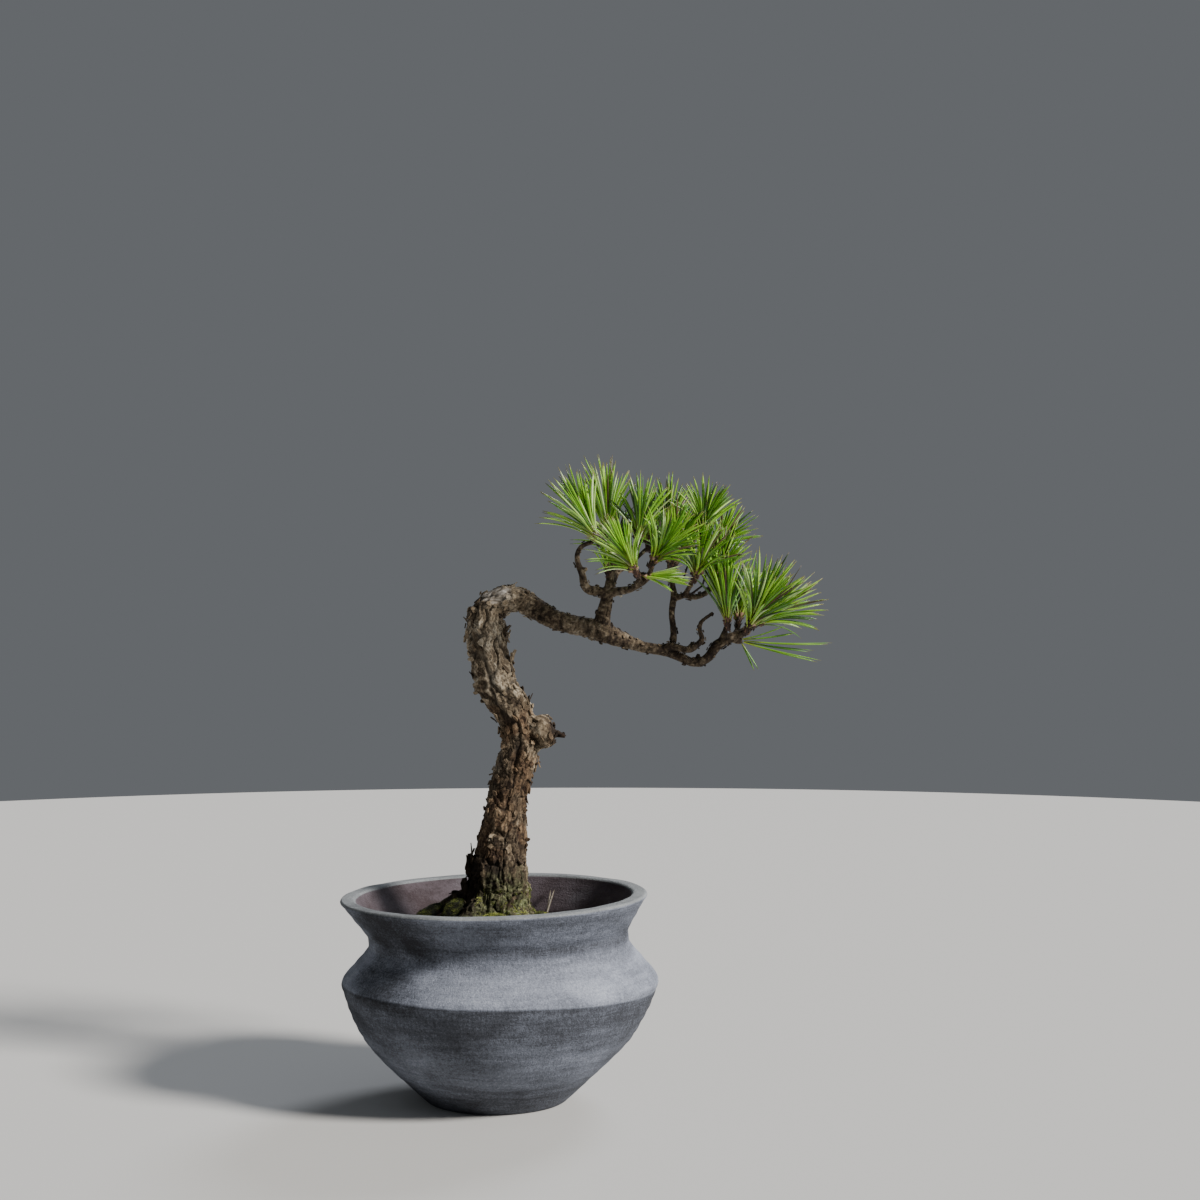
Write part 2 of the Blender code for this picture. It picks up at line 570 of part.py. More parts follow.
# ---- moss ----
def moss(parts, buried):
    for name, ((cx, cy), (half_x, half_y), thick) in MOSS.items():
        def under(x, y):
            return soil_height(x + cx, y + cy) + CLEARANCE + 0.3

        def over(x, y):
            dome = math.sqrt(max(0, 1 - (x / half_x) ** 2 - (y / half_y) ** 2))
            return under(x, y) + 0.8 + thick * dome

        cushion = draped(name, half_x, half_y, 6, under, over, oval=True)
        cushion.transform(Matrix.Translation((cx * MM, cy * MM, 0)))
        obj = add_mesh(name, cushion, "moss", parts)
        boolean(obj, buried, "DIFFERENCE", keep=True)


# ---- the whole ----
def stand_on_box_centre(parts):
    """Parents every piece to one empty and moves it so that the box's base centre is the origin."""
    bpy.context.view_layer.update()
    corners = [obj.matrix_world @ Vector(c) for obj in parts.objects for c in obj.bound_box]
    low = Vector(map(min, *corners))
    high = Vector(map(max, *corners))
    stand = bpy.data.objects.new("dwarf_pine", None)
    parts.objects.link(stand)
    stand.location = (-(low.x + high.x) / 2, -(low.y + high.y) / 2, -low.z)
    for obj in parts.objects:
        if obj is not stand:
            obj.parent = stand


def main():
    for obj in list(bpy.data.objects):
        bpy.data.objects.remove(obj, do_unlink=True)
    parts = bpy.data.collections.new("Potted dwarf pine")
    cutters = bpy.data.collections.new("Cutters")
    for collection in (parts, cutters):
        bpy.context.scene.collection.children.link(collection)
    cutters.hide_render = True
    pot(parts)
    drain_mesh(parts)
    mesh_clip(parts)
    grit_layer(parts)
    buried = buried_wood(cutters)
    soil(parts, cutters, buried)
    wood(parts, cutters)
    moss(parts, buried)
    needle_tufts(parts)
    fallen_needles(parts, cutters)
    for cutter in cutters.objects:
        cutter.hide_render = True
        cutter.display_type = "WIRE"
    stand_on_box_centre(parts)


main()
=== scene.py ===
"""The looks of a dwarf pine in a hand-thrown stoneware pot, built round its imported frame.

Lengths are in millimetres and become metres where a mesh is made. Places on the plant are measured
from the pot's axis at the level of its foot, which AXIS puts in the frame.
"""

import math
import random

import bmesh
import bpy
import numpy as np
from mathutils import Matrix, Vector, noise


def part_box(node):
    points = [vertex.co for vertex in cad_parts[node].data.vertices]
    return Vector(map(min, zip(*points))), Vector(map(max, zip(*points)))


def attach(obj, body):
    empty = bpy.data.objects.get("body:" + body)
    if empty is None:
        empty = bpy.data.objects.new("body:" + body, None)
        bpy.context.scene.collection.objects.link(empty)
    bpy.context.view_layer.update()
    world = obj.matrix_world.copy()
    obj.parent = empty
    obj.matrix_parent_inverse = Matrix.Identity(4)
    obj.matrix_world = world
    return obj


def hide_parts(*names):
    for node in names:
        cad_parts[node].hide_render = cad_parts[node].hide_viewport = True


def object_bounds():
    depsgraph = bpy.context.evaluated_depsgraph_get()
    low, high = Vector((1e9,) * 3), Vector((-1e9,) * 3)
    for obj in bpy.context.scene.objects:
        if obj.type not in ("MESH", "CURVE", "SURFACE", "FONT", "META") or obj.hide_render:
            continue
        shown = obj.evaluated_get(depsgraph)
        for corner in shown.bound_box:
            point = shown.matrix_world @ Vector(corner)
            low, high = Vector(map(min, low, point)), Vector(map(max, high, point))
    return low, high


MM = 0.001
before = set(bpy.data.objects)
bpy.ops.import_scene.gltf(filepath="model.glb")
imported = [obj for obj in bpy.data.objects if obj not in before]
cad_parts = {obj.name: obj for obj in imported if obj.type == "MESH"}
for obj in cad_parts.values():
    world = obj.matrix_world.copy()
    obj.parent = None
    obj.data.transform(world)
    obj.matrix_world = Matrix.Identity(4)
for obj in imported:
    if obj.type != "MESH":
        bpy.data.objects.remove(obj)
CAD_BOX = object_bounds()
NET_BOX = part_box("drain_mesh")
AXIS = (NET_BOX[0] + NET_BOX[1]) / 2
AXIS.z = 0

# ---- pot, in millimetres as thrown ----
POT_HEIGHT = 87.8
RIM_RADIUS = 67.3
LIP_WIDTH = 7.5
NECK_RADIUS = 54.0
NECK_HEIGHT = 68.5
RIDGE_RADIUS = 69.0
RIDGE_HEIGHT = 51.5
WALL = 6.6
RIM_LEAN = 0.02
WORN_AT = (-50.8, -51, 71)
AXIS_DRIFT = [(0, 0), (12, 0), (51.5, 1.6), (68.5, 0.8), (88, -1.4)]
POT_OUTSIDE = [
    (RIM_RADIUS - LIP_WIDTH / 2, POT_HEIGHT, 0), (RIM_RADIUS, POT_HEIGHT, 1.2),
    (NECK_RADIUS, NECK_HEIGHT, 8), (RIDGE_RADIUS, RIDGE_HEIGHT, 4), (64.4, 38.5, 30),
    (58.4, 27.3, 40), (49.2, 17.3, 50), (38.6, 7.4, 30), (30.5, 0, 1.4), (23, 0, 0.8), (22, 3.5, 0.8),
    (7, 3.5, 0.6), (7, 9, 0.6),
]
POT_INSIDE = [
    (26, 9, 4), (36, 14, 24), (45, 22.5, 30), (53.5, 33, 40), (58.8, 43, 30),
    (RIDGE_RADIUS - WALL, RIDGE_HEIGHT + 0.5, 5), (NECK_RADIUS - WALL, NECK_HEIGHT, 8),
    (RIM_RADIUS - LIP_WIDTH, POT_HEIGHT, 2), (RIM_RADIUS - LIP_WIDTH / 2, POT_HEIGHT, 0),
]

# ---- soil surface ----
SOIL_LEVEL = 70.5
MOUND_HEIGHT = 14.5
MOUND_CENTRE = (-8.0, 5.0)
MOUND_SPREAD = (24.0, 22.0)

# ---- shoots: group of needles, foot, direction, needle length, spread in degrees, pairs, tone of green ----
# the tone of green is partly each shoot's own colour, partly painted light on the front shoots and painted
# shade on the back ones
SHOOTS = [
    ("left_outer", (43.6, -14.3, 239.6), (-0.5, -0.2, 0.86), 33, 38, 30, 0.62),
    ("left_top", (47.6, -4, 240.6), (0, 0.05, 1), 35, 33, 28, 0.64),
    ("left_top", (48, -5.2, 226), (-0.2, -0.3, 1), 16, 28, 8, 0.45),
    ("inner_top", (60.5, -10.1, 239.2), (0.1, -0.1, 1), 29, 40, 22, 0.45),
    ("front", (59.4, -26, 226), (-0.5, -0.35, 0.8), 28.5, 50, 34, 0.68),
    ("front_right", (66.4, -22.3, 230), (0.5, -0.3, 0.7), 27.5, 52, 28, 0.56),
    ("front_right", (61.5, -19, 224.6), (0.9, -0.35, -0.06), 21, 24, 12, 0.72),
    ("back_left", (53.5, 21.6, 234.4), (-0.3, 0.5, 0.85), 30, 48, 24, 0.36),
    ("back_middle", (65.7, 19.8, 238), (0, 0.35, 0.95), 30, 42, 24, 0.34),
    ("middle_top", (74.2, 11.8, 239.6), (0, 0.15, 1), 29, 36, 26, 0.42),
    ("middle_front", (75.2, -8.2, 230.3), (0.1, -0.5, 0.85), 29, 50, 26, 0.45),
    ("back_right", (82.4, 25.3, 236.2), (0.25, 0.6, 0.8), 28, 48, 24, 0.4),
    ("crown_right", (88.2, 4.2, 242.7), (0.15, -0.1, 1), 26, 52, 28, 0.48),
    ("crown_outer", (94.2, 13.2, 235.5), (0.5, 0.25, 0.8), 25, 48, 25, 0.42),
    ("under_crown", (85.1, -6.2, 224.1), (0.25, -0.4, 0.85), 28, 50, 28, 0.5),
    ("right_shoulder", (93.3, 2.6, 221.1), (0.3, -0.05, 0.85), 28, 42, 25, 0.46),
    ("end_inner", (99.2, -2.2, 203.6), (-0.08, -0.1, 1), 36, 34, 26, 0.45),
    ("end_back", (104.6, 8.6, 204.3), (0.15, 0.5, 0.85), 33, 42, 25, 0.45),
    ("end_front", (107.6, -8, 202), (0.4, -0.4, 0.88), 35, 42, 32, 0.56),
    ("end_tip", (111.4, 0.3, 203.8), (0.82, 0.02, 0.58), 32, 48, 34, 0.56),
]
# the low needles at the end of the bough: foot, tip, and how far the middle sags, as a share of the length
LONG_NEEDLES = [
    ((106, 2.4, 197.2), (124.4, -4, 203.4), 0.16),
    ((106.5, 2, 197), (129.4, 3, 200.2), 0.1),
    ((106.8, 2.4, 196.4), (144.6, 0, 195.8), 0.09),
    ((106.6, 2.6, 196), (137.2, 4, 192.4), 0.07),
    ((106.4, 2, 195.8), (139.6, -3, 188.2), 0.06),
    ((105.6, 2.4, 195.6), (112.6, 0, 184.4), 0.04),
]
DEAD_TWIGS = [
    [(61, -4, 236), (62.5, -2, 243), (60.4, -1, 249), (61.6, 0, 256)],
    [(62.5, -2, 243), (66.5, -2.5, 247), (68, -2, 253.5)],
    [(66, -6, 236), (69.6, -5, 241), (70.2, -4, 248)],
    [(56, -9, 234), (57.2, -8, 241), (55.6, -7, 246)],
    [(80, 4, 222), (82.4, 5, 229), (81, 6, 236)],
    [(84, 0, 217), (88.5, -2, 220.5), (90, -3, 226)],
]
NEEDLE_WIDTH = 1.05
NEEDLE_FLATNESS = 0.62
NEEDLE_GATHER = 0.42

# ---- wood: the middle line and radius of each length ----
WOOD_LINES = [
    [
        (-1, 1, 56, 8), (-1, 1, 77, 15.5), (0, 0.5, 86, 14.2), (1, 0, 97, 12.6), (2.2, 0, 108, 10.9),
        (3, 0.5, 119, 9.6), (4.5, 1, 130, 9.1), (10, 0.5, 152, 8.4), (9, 0, 161, 7.9), (0.6, -1, 176.5, 9),
        (-3.6, -0.5, 192, 8.9), (-5, 0, 200, 9.2), (-4.6, 0.5, 207, 8.6), (-1.5, 0.5, 212.3, 7.4),
        (4, 0, 215, 6.5), (10.5, -0.5, 214, 5.6), (16.5, -1.5, 210.8, 4.9), (23, -2.5, 206.7, 4.4),
        (38, -3, 202.7, 4.3), (45, -2.5, 201.2, 4.9), (57, -0.5, 196, 3), (74, 1, 191.8, 2.3),
        (84, 1, 187.4, 2), (88, 0, 187.2, 2), (94.5, -1, 194.6, 2.4), (104, 1, 199, 2.2),
        (110.3, 0.5, 203.2, 1.4),
    ],
    [
        (45, -2.5, 200, 4.2), (47, -4, 213, 2.9), (48.2, -5, 220, 2.1), (49, -4, 226, 1.8),
        (49.2, -4, 239, 1.1),
    ],
    [
        (47, -5, 217, 2.2), (40.3, -8, 218.4, 2.2), (37, -10.5, 224.5, 1.6), (34.6, -12, 233.5, 1.3),
        (41.6, -14, 239, 1.1),
    ],
    [(47.4, -5, 217, 2), (56.5, -12, 218.7, 1.7), (64, -19, 223, 1.4), (66.6, -21.5, 228.6, 1)],
    [(47.8, -4, 218.6, 1.9), (52.5, 12, 229, 1.3), (64.8, 19, 236.8, 1)],
    [
        (75.3, 1, 191.5, 1.8), (76.3, 1.5, 200, 1.6), (75.4, 2, 207.5, 1.5), (76.8, 2.5, 217.5, 1.6),
        (74.2, 11.4, 238, 1),
    ],
    [(76.4, 2.5, 215, 1.4), (85.6, 1.5, 215.6, 1.4), (93.2, 2.5, 220, 1)],
    [
        (71, 0, 193.4, 1.9), (79.5, -3.5, 193.3, 1.6), (86.2, -6, 195.2, 1.5), (87, -8, 201, 1.1),
        (92.8, -10.5, 208.8, 0.9),
    ],
]
BARK_GRID = 0.46
BARK_KEPT = 0.7  # share of the triangles that the shown wood keeps
SCARS = [(-6.2, -7.6, 178.2, 5.2, 0.65), (21.5, -6.5, 158.5, 6, 0.15), (-9.5, -6, 201, 2.6, 0.6)]
TORN_AT = (-0.8, -3.5, 216.5)
TORN_SIZE = (7.2, 5.5, 4.2)
# curls of bark that stand off: where, which way they face, the way to the free end, length, width,
# lift in degrees, shade
CURLS = [
    ((1.2, -3, 195.5), (1, -0.25, 0.2), (0.1, 0, 1), 9.5, 4.6, 30, 0.3),
    ((2.2, -2.4, 201), (1, -0.2, 0.3), (0.2, 0, 1), 5, 3.8, 52, 0.2),
    ((5.6, -2, 190), (1, -0.3, 0.1), (0.1, 0, 1), 6, 3.4, 20, 0.45),
    ((12.6, -1, 170.5), (1, -0.2, 0.2), (0.1, 0, 1), 7.6, 1.9, 27, 0.2),
    ((6, -1, 219), (0, -0.2, 1), (1, 0, 0.2), 6.6, 2.6, 26, 0.7),
    ((-11.4, -1.5, 99), (-1, -0.3, 0), (0, 0, 1), 11, 3.6, 9, 0.12),
    ((-12.8, -2.5, 91), (-1, -0.4, 0), (0, 0, 1), 10, 5.5, 8, 0.1),
    ((-10.4, -2, 104), (-1, -0.3, 0), (0, 0, 1), 10, 1.8, 4, 0.12),
    ((-12.6, -1, 84), (-1, -0.3, 0), (0, 0, 1), 9, 6, 12, 0.1),
    ((13.2, -2.5, 136.5), (1, -0.3, 0), (0, 0, -1), 3, 2, 40, 0.1),
]
# moss: how bright, and how many sprigs; moss_left and moss_front_left are set dark as painted shade
MOSS = {
    "moss_front": (0.62, 900), "moss_front_left": (0.3, 800), "moss_left": (0.2, 800),
    "moss_right": (0.5, 800), "moss_back_left": (0.35, 700), "moss_back": (0.45, 700),
}
MOSS_CLUMPS = [((-6, -13, 87.5), 5, 1.25), ((9.6, -9.5, 82.5), 6, 0.9), ((2, -14, 80.5), 5.5, 0.8)]


# ---- helpers for meshes ----
def in_frame(point):
    """A place on the plant, in millimetres, as a place in the frame."""
    return Vector(point) * MM + AXIS


def new_shape(*layers):
    """An empty bmesh that keeps a number of each of these names at its vertices."""
    shape = bmesh.new()
    for name in layers:
        shape.verts.layers.float.new(name)
    return shape


def as_mesh(name, shape):
    mesh = bpy.data.meshes.new(name)
    shape.to_mesh(mesh)
    shape.free()
    return mesh


def new_object(name, data):
    obj = bpy.data.objects.new(name, data)
    bpy.context.scene.collection.objects.link(obj)
    return obj


def finish_piece(name, shape, finish, replaced=(), smooth=True):
    """Turns a bmesh in frame coordinates into a shown piece."""
    finish_mesh(name, as_mesh(name, shape), finish, replaced, smooth)


def finish_mesh(name, mesh, finish, replaced=(), smooth=True):
    obj = new_object(name, mesh)
    mesh.materials.clear()
    mesh.materials.append(finish)
    if smooth:
        mesh.shade_smooth()
    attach(obj, "root")
    for node_name in replaced:
        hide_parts(node_name)


def set_values(mesh, name, values):
    """A number at each vertex, which a material reads by this name."""
    layer = mesh.attributes.new(name, "FLOAT", "POINT")
    layer.data.foreach_set("value", np.asarray(values, np.float32))


def places(mesh):
    """The vertices in millimetres from the pot's axis, as an array."""
    found = np.empty(len(mesh.vertices) * 3, np.float32)
    mesh.vertices.foreach_get("co", found)
    return (found.reshape(-1, 3) - np.array(AXIS)) / MM


def place(mesh, points):
    mesh.vertices.foreach_set("co", (points * MM + np.array(AXIS)).astype(np.float32).ravel())
    mesh.update()


def normals_of(mesh):
    found = np.empty(len(mesh.vertices) * 3, np.float32)
    mesh.vertices.foreach_get("normal", found)
    return found.reshape(-1, 3)


def smoothstep(low, high, x):
    t = np.clip((x - low) / (high - low), 0, 1)
    return t * t * (3 - 2 * t)


def noise_at(points, size, seed=0):
    """Smooth noise of about -1 to 1 whose lumps are this many millimetres across."""
    shifted = points / size + np.array((17.3, 5.1, 11.7)) * seed
    return np.array([noise.noise(p) for p in shifted.tolist()])


def layered(points, size, octaves, seed):
    """Noise with finer noise on it, of about -1 to 1."""
    return sum(noise_at(points, size / 2**k, seed + k) / 1.7**k for k in range(octaves)) / 1.35


def merged_copy(name):
    """The frame's node as one closed mesh, because it comes as loose triangles."""
    shape = bmesh.new()
    shape.from_mesh(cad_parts[name].data)
    bmesh.ops.remove_doubles(shape, verts=shape.verts, dist=1e-6)
    return as_mesh(name + "_copy", shape)


def with_modifiers(mesh, *modifiers):
    """The mesh after these (type, settings) modifiers."""
    obj = new_object("working", mesh)
    for kind, settings in modifiers:
        step = obj.modifiers.new(kind, kind)
        for key, value in settings.items():
            setattr(step, key, value)
    bpy.context.view_layer.update()
    made = bpy.data.meshes.new_from_object(obj.evaluated_get(bpy.context.evaluated_depsgraph_get()))
    bpy.data.objects.remove(obj)
    return made


def scatter(points, gap_of, rng):
    """Indices of points at least their own gap apart, in random order."""
    order = rng.permutation(len(points))[:16000]
    gaps = gap_of(points[order])
    kept, found = [], np.zeros((0, 3))
    for i, gap in zip(order, gaps):
        if len(kept) == 0 or np.square(found - points[i]).sum(1).min() >= gap**2:
            kept.append(i)
            found = points[kept]
    return np.array(kept)


def rounded(corners, degrees_per_step=9):
    """An outline through (x, z, radius) corners, each one an arc of that radius."""
    made = []
    for i, (x, z, radius) in enumerate(corners):
        here = Vector((x, z))
        if radius == 0 or i in (0, len(corners) - 1):
            made.append(here)
            continue
        back = (Vector(corners[i - 1][:2]) - here).normalized()
        ahead = (Vector(corners[i + 1][:2]) - here).normalized()
        half = back.angle(ahead) / 2
        centre = here + (back + ahead).normalized() * (radius / math.sin(half))
        first = here + back * (radius / math.tan(half)) - centre
        turn = first.angle_signed(here + ahead * (radius / math.tan(half)) - centre)
        steps = max(1, round(math.degrees(abs(turn)) / degrees_per_step))
        made += [centre + Matrix.Rotation(-turn * k / steps, 2) @ first for k in range(steps + 1)]
    return made


def split_long(outline, longest):
    """The same outline with its long stretches divided."""
    made = []
    for a, b in zip(outline, outline[1:]):
        steps = max(1, math.ceil((b - a).length / longest))
        made += [a.lerp(b, k / steps) for k in range(steps)]
    return [*made, outline[-1]]


# ---- helpers for materials ----
def linear(code):
    """The linear colour of an sRGB hex value."""
    channels = [int(code[i : i + 2], 16) / 255 for i in (1, 3, 5)]
    return (*[c / 12.92 if c <= 0.04045 else ((c + 0.055) / 1.055) ** 2.4 for c in channels], 1)


def new_material(name):
    made = bpy.data.materials.new(name)
    made.use_nodes = True
    return made


def feed(made, socket, value):
    """Gives an input of a node a value, a hex colour or another node's output."""
    if isinstance(value, bpy.types.NodeSocket):
        made.node_tree.links.new(value, socket)
    else:
        socket.default_value = linear(value) if isinstance(value, str) else value


def add(made, kind, *values, out=None, **named):
    """Adds a shader node and gives its first output, or the one asked for.

    The values go to its inputs in their order. A name in lower case is a setting of the node, or a
    ramp's (position, colour or grey) stops. A name with a capital is an input.
    """
    node = made.node_tree.nodes.new("ShaderNode" + kind)
    for name, value in named.items():
        if name == "stops":
            elements = node.color_ramp.elements
            while len(elements) < len(value):
                elements.new(0.5)
            for element, (position, colour) in zip(elements, value):
                element.position = position
                element.color = linear(colour) if isinstance(colour, str) else (colour, colour, colour, 1)
        elif name == "ease":
            node.color_ramp.interpolation = value
        elif name.islower():
            setattr(node, name, value)
        else:
            feed(made, node.inputs[name.replace("_", " ")], value)
    for socket, value in zip([socket for socket in node.inputs if socket.enabled], values):
        feed(made, socket, value)
    return node.outputs[out] if out else next(socket for socket in node.outputs if socket.enabled)


def finished(made, **inputs):
    """The material, with these inputs of its shader set."""
    shader = made.node_tree.nodes["Principled BSDF"]
    for name, value in inputs.items():
        feed(made, shader.inputs[name.replace("_", " ")], value)
    return made


def swing(made, value, amount):
    """A value of about 0 to 1 as a swing either way of zero."""
    centred = add(made, "Math", value, 0.5, operation="SUBTRACT")
    return add(made, "Math", centred, amount, operation="MULTIPLY")


def object_place(made, scale=(1, 1, 1)):
    """Object coordinates measured from the pot's axis, stretched by the scale."""
    here = add(made, "TexCoord", out="Object")
    moved = add(made, "VectorMath", here, tuple(AXIS), operation="SUBTRACT")
    return add(made, "VectorMath", moved, scale, operation="MULTIPLY")


def per_lump(size):
    """The scale of a noise texture whose lumps are about this many millimetres across."""
    return 1 / (size * MM)


# ---- pot ----
def slipped_stoneware():
    """Coarse dark stoneware fired unglazed, with pale blue-grey slip brushed on while it turned: it lies
    thick on the shoulder and thin on the neck and below the ridge, and grit shows through it as specks."""
    made = new_material("Dark stoneware, brushed slip, unglazed")
    here = object_place(made)
    x = add(made, "SeparateXYZ", here)
    z = x.node.outputs["Z"]
    streaks = add(
        made, "TexNoise", Vector=object_place(made, (1, 1, 7)), Scale=per_lump(34), Detail=6, Roughness=0.6,
    )
    hairs = add(
        made, "TexNoise", Vector=object_place(made, (1, 1, 18)), Scale=per_lump(14), Detail=4,
        Roughness=0.7,
    )
    clouds = add(
        made, "TexNoise", Vector=object_place(made, (1, 1, 1.8)), Scale=per_lump(22), Detail=4,
        Roughness=0.55, Distortion=0.3,
    )
    grit = add(made, "TexNoise", Vector=here, Scale=per_lump(1.0), Detail=3, Roughness=0.65)
    specks = add(made, "TexNoise", Vector=here, Scale=per_lump(0.5), Detail=2, Roughness=0.6)
    right = add(made, "Math", x, 0.0, operation="MAXIMUM")
    sag = add(made, "Math", add(made, "Math", right, right, operation="MULTIPLY"), 0.7, operation="MULTIPLY")
    ragged = add(made, "Math", swing(made, streaks, 0.0016), swing(made, grit, 0.0004), operation="ADD")
    drop = add(made, "Math", add(made, "Math", 0.0512, sag, operation="SUBTRACT"), z, operation="SUBTRACT")
    edge = add(made, "Math", drop, ragged, operation="ADD")
    under = add(made, "MapRange", edge, -0.0005, 0.0005)
    share = add(
        made, "Math", add(made, "Math", z, swing(made, streaks, 0.008), operation="ADD"), 0.09,
        operation="DIVIDE",
    )
    upper = add(
        made, "ValToRGB", share,
        stops=[
            (0.5, 0.6), (0.58, 0.66), (0.68, 0.7), (0.75, 0.52), (0.79, 0.34), (0.86, 0.44), (0.92, 0.38),
            (0.98, 0.56),
        ],
        ease="EASE",
    )
    lower = add(
        made, "ValToRGB", share,
        stops=[
            (0.0, 0.24), (0.08, 0.22), (0.18, 0.42), (0.3, 0.44), (0.38, 0.34), (0.46, 0.26), (0.56, 0.26),
        ],
        ease="EASE",
    )
    cover = add(made, "Mix", under, upper, lower, data_type="RGBA")
    combed = add(
        made, "TexNoise", Vector=object_place(made, (1, 1, 0.16)), Scale=per_lump(1.3), Detail=3,
        Roughness=0.6,
    )
    from_worn = add(made, "VectorMath", here, tuple(Vector(WORN_AT) * MM), operation="DISTANCE")
    away = add(
        made, "Math", from_worn,
        add(made, "Math", swing(made, clouds, 0.03), swing(made, grit, 0.01), operation="ADD"),
        operation="ADD",
    )
    worn = add(made, "MapRange", away, 0.008, 0.03, 0.5, 0.0)
    cover = add(made, "Math", cover, worn, operation="SUBTRACT")
    for part, amount in (
        (clouds, 0.55), (streaks, 0.42), (hairs, 0.3), (grit, 0.42), (specks, 0.3), (combed, 0.3),
    ):
        cover = add(made, "Math", cover, swing(made, part, amount), operation="ADD")
    outer = add(
        made, "ValToRGB", cover,
        stops=[(0.0, "#25262b"), (0.25, "#43464e"), (0.5, "#6b707c"), (0.75, "#9096a4"), (1.0, "#b0b6c2")],
    )
    haze = add(
        made, "Math", add(made, "Math", clouds, 0.8, operation="MULTIPLY"),
        add(made, "Math", grit, 0.35, operation="MULTIPLY"), operation="ADD",
    )
    up_wall = add(made, "MapRange", z, 0.07, 0.086, 0.0, 0.14)
    inner = add(
        made, "ValToRGB", add(made, "Math", haze, up_wall, operation="ADD"),
        stops=[(0.35, "#262022"), (0.55, "#3c3235"), (0.8, "#5d555b"), (1.0, "#7b7980")],
    )
    inside = add(made, "Attribute", out="Fac", attribute_name="inside")
    lip = add(made, "ValToRGB", cover, stops=[(0.1, "#4f5255"), (0.5, "#7c8083"), (0.95, "#a4a8aa")])
    top = add(made, "MapRange", add(made, "Attribute", out="Fac", attribute_name="lip"), 0.35, 0.65)
    first = add(
        made, "Bump", Strength=0.8, Distance=0.35 * MM,
        Height=add(made, "Math", grit, hairs, operation="ADD"),
    )
    return finished(
        made,
        Base_Color=add(
            made, "Mix", top, add(made, "Mix", inside, outer, inner, data_type="RGBA"), lip,
            data_type="RGBA",
        ),
        Roughness=0.85, Specular_IOR_Level=0.28,
        Normal=add(made, "Bump", Strength=0.8, Distance=0.2 * MM, Height=specks, Normal=first),
    )


def as_thrown(points):
    """Drift and lean, for points in millimetres; the waviness that the hands leave is added in pot."""
    heights, shifts = zip(*AXIS_DRIFT)
    x, y, z = points.T.copy()
    settled = smoothstep(46, 72, z)
    z = z + x * RIM_LEAN * settled
    x = x + np.interp(points[:, 2], heights, shifts)
    return np.stack([x, y, z], 1)


def pot():
    outside = rounded(POT_OUTSIDE)
    outline = split_long([*outside, *rounded(POT_INSIDE)], 1.3)
    shape = bmesh.new()
    verts = [shape.verts.new((p.x, 0, p.y)) for p in outline[:-1]]
    edges = [shape.edges.new(pair) for pair in zip(verts, [*verts[1:], verts[0]])]
    bmesh.ops.spin(
        shape, geom=[*verts, *edges], cent=(0, 0, 0), axis=(0, 0, 1), angle=math.tau, steps=176,
        use_merge=True,
    )
    bmesh.ops.remove_doubles(shape, verts=shape.verts, dist=1e-4)
    if shape.calc_volume(signed=True) < 0:
        bmesh.ops.reverse_faces(shape, faces=shape.faces)
    mesh = as_mesh("pot_shell", shape)
    points = np.empty(len(mesh.vertices) * 3, np.float32)
    mesh.vertices.foreach_get("co", points)
    points = points.reshape(-1, 3).astype(float)
    r = np.hypot(points[:, 0], points[:, 1])
    angle = np.arctan2(points[:, 1], points[:, 0])
    z = points[:, 2]
    wall_middle = np.interp(
        z, [9, 14, 22.5, 33, 43, 52, 68.5, 88], [24, 39.5, 50, 58.5, 63, 65.6, 50.7, 63.5],
    )
    inside = (r < wall_middle) & (z > 9.2)
    worked = smoothstep(3, 10, z) * (1 - smoothstep(84.5, 87, z))
    rings = 0.11 * (1 + np.sin(z * math.tau / 4.7 + 0.7 * np.sin(angle) + 0.4 * np.sin(2 * angle + 1)))
    waves = 0.3 * (1 + np.cos(2 * angle + 1.1 + z / 24)) * smoothstep(20, 50, z)
    lumps = 0.22 * (1 + noise_at(points, 9, 1)) + 0.07 * noise_at(points, 2.2, 2)
    inward = (rings * worked + waves * 0.6 + lumps * worked) * np.where(inside, -0.6, 1)
    inward += 0.25 * np.abs(noise_at(points, 6, 3)) * smoothstep(66.5, 68.3, r) * ~inside
    share = (r - inward) / np.maximum(r, 1)
    points[:, 0] *= share
    points[:, 1] *= share
    points[:, 2] -= (0.25 + 0.25 * noise_at(points, 14, 4)) * smoothstep(85, 87.5, z)
    place(mesh, as_thrown(points))
    set_values(mesh, "inside", inside & (z < 86.9))
    set_values(mesh, "lip", smoothstep(86.2, 87.2, z))
    finish_mesh("pot_shell", mesh, slipped_stoneware(), ["pot"])


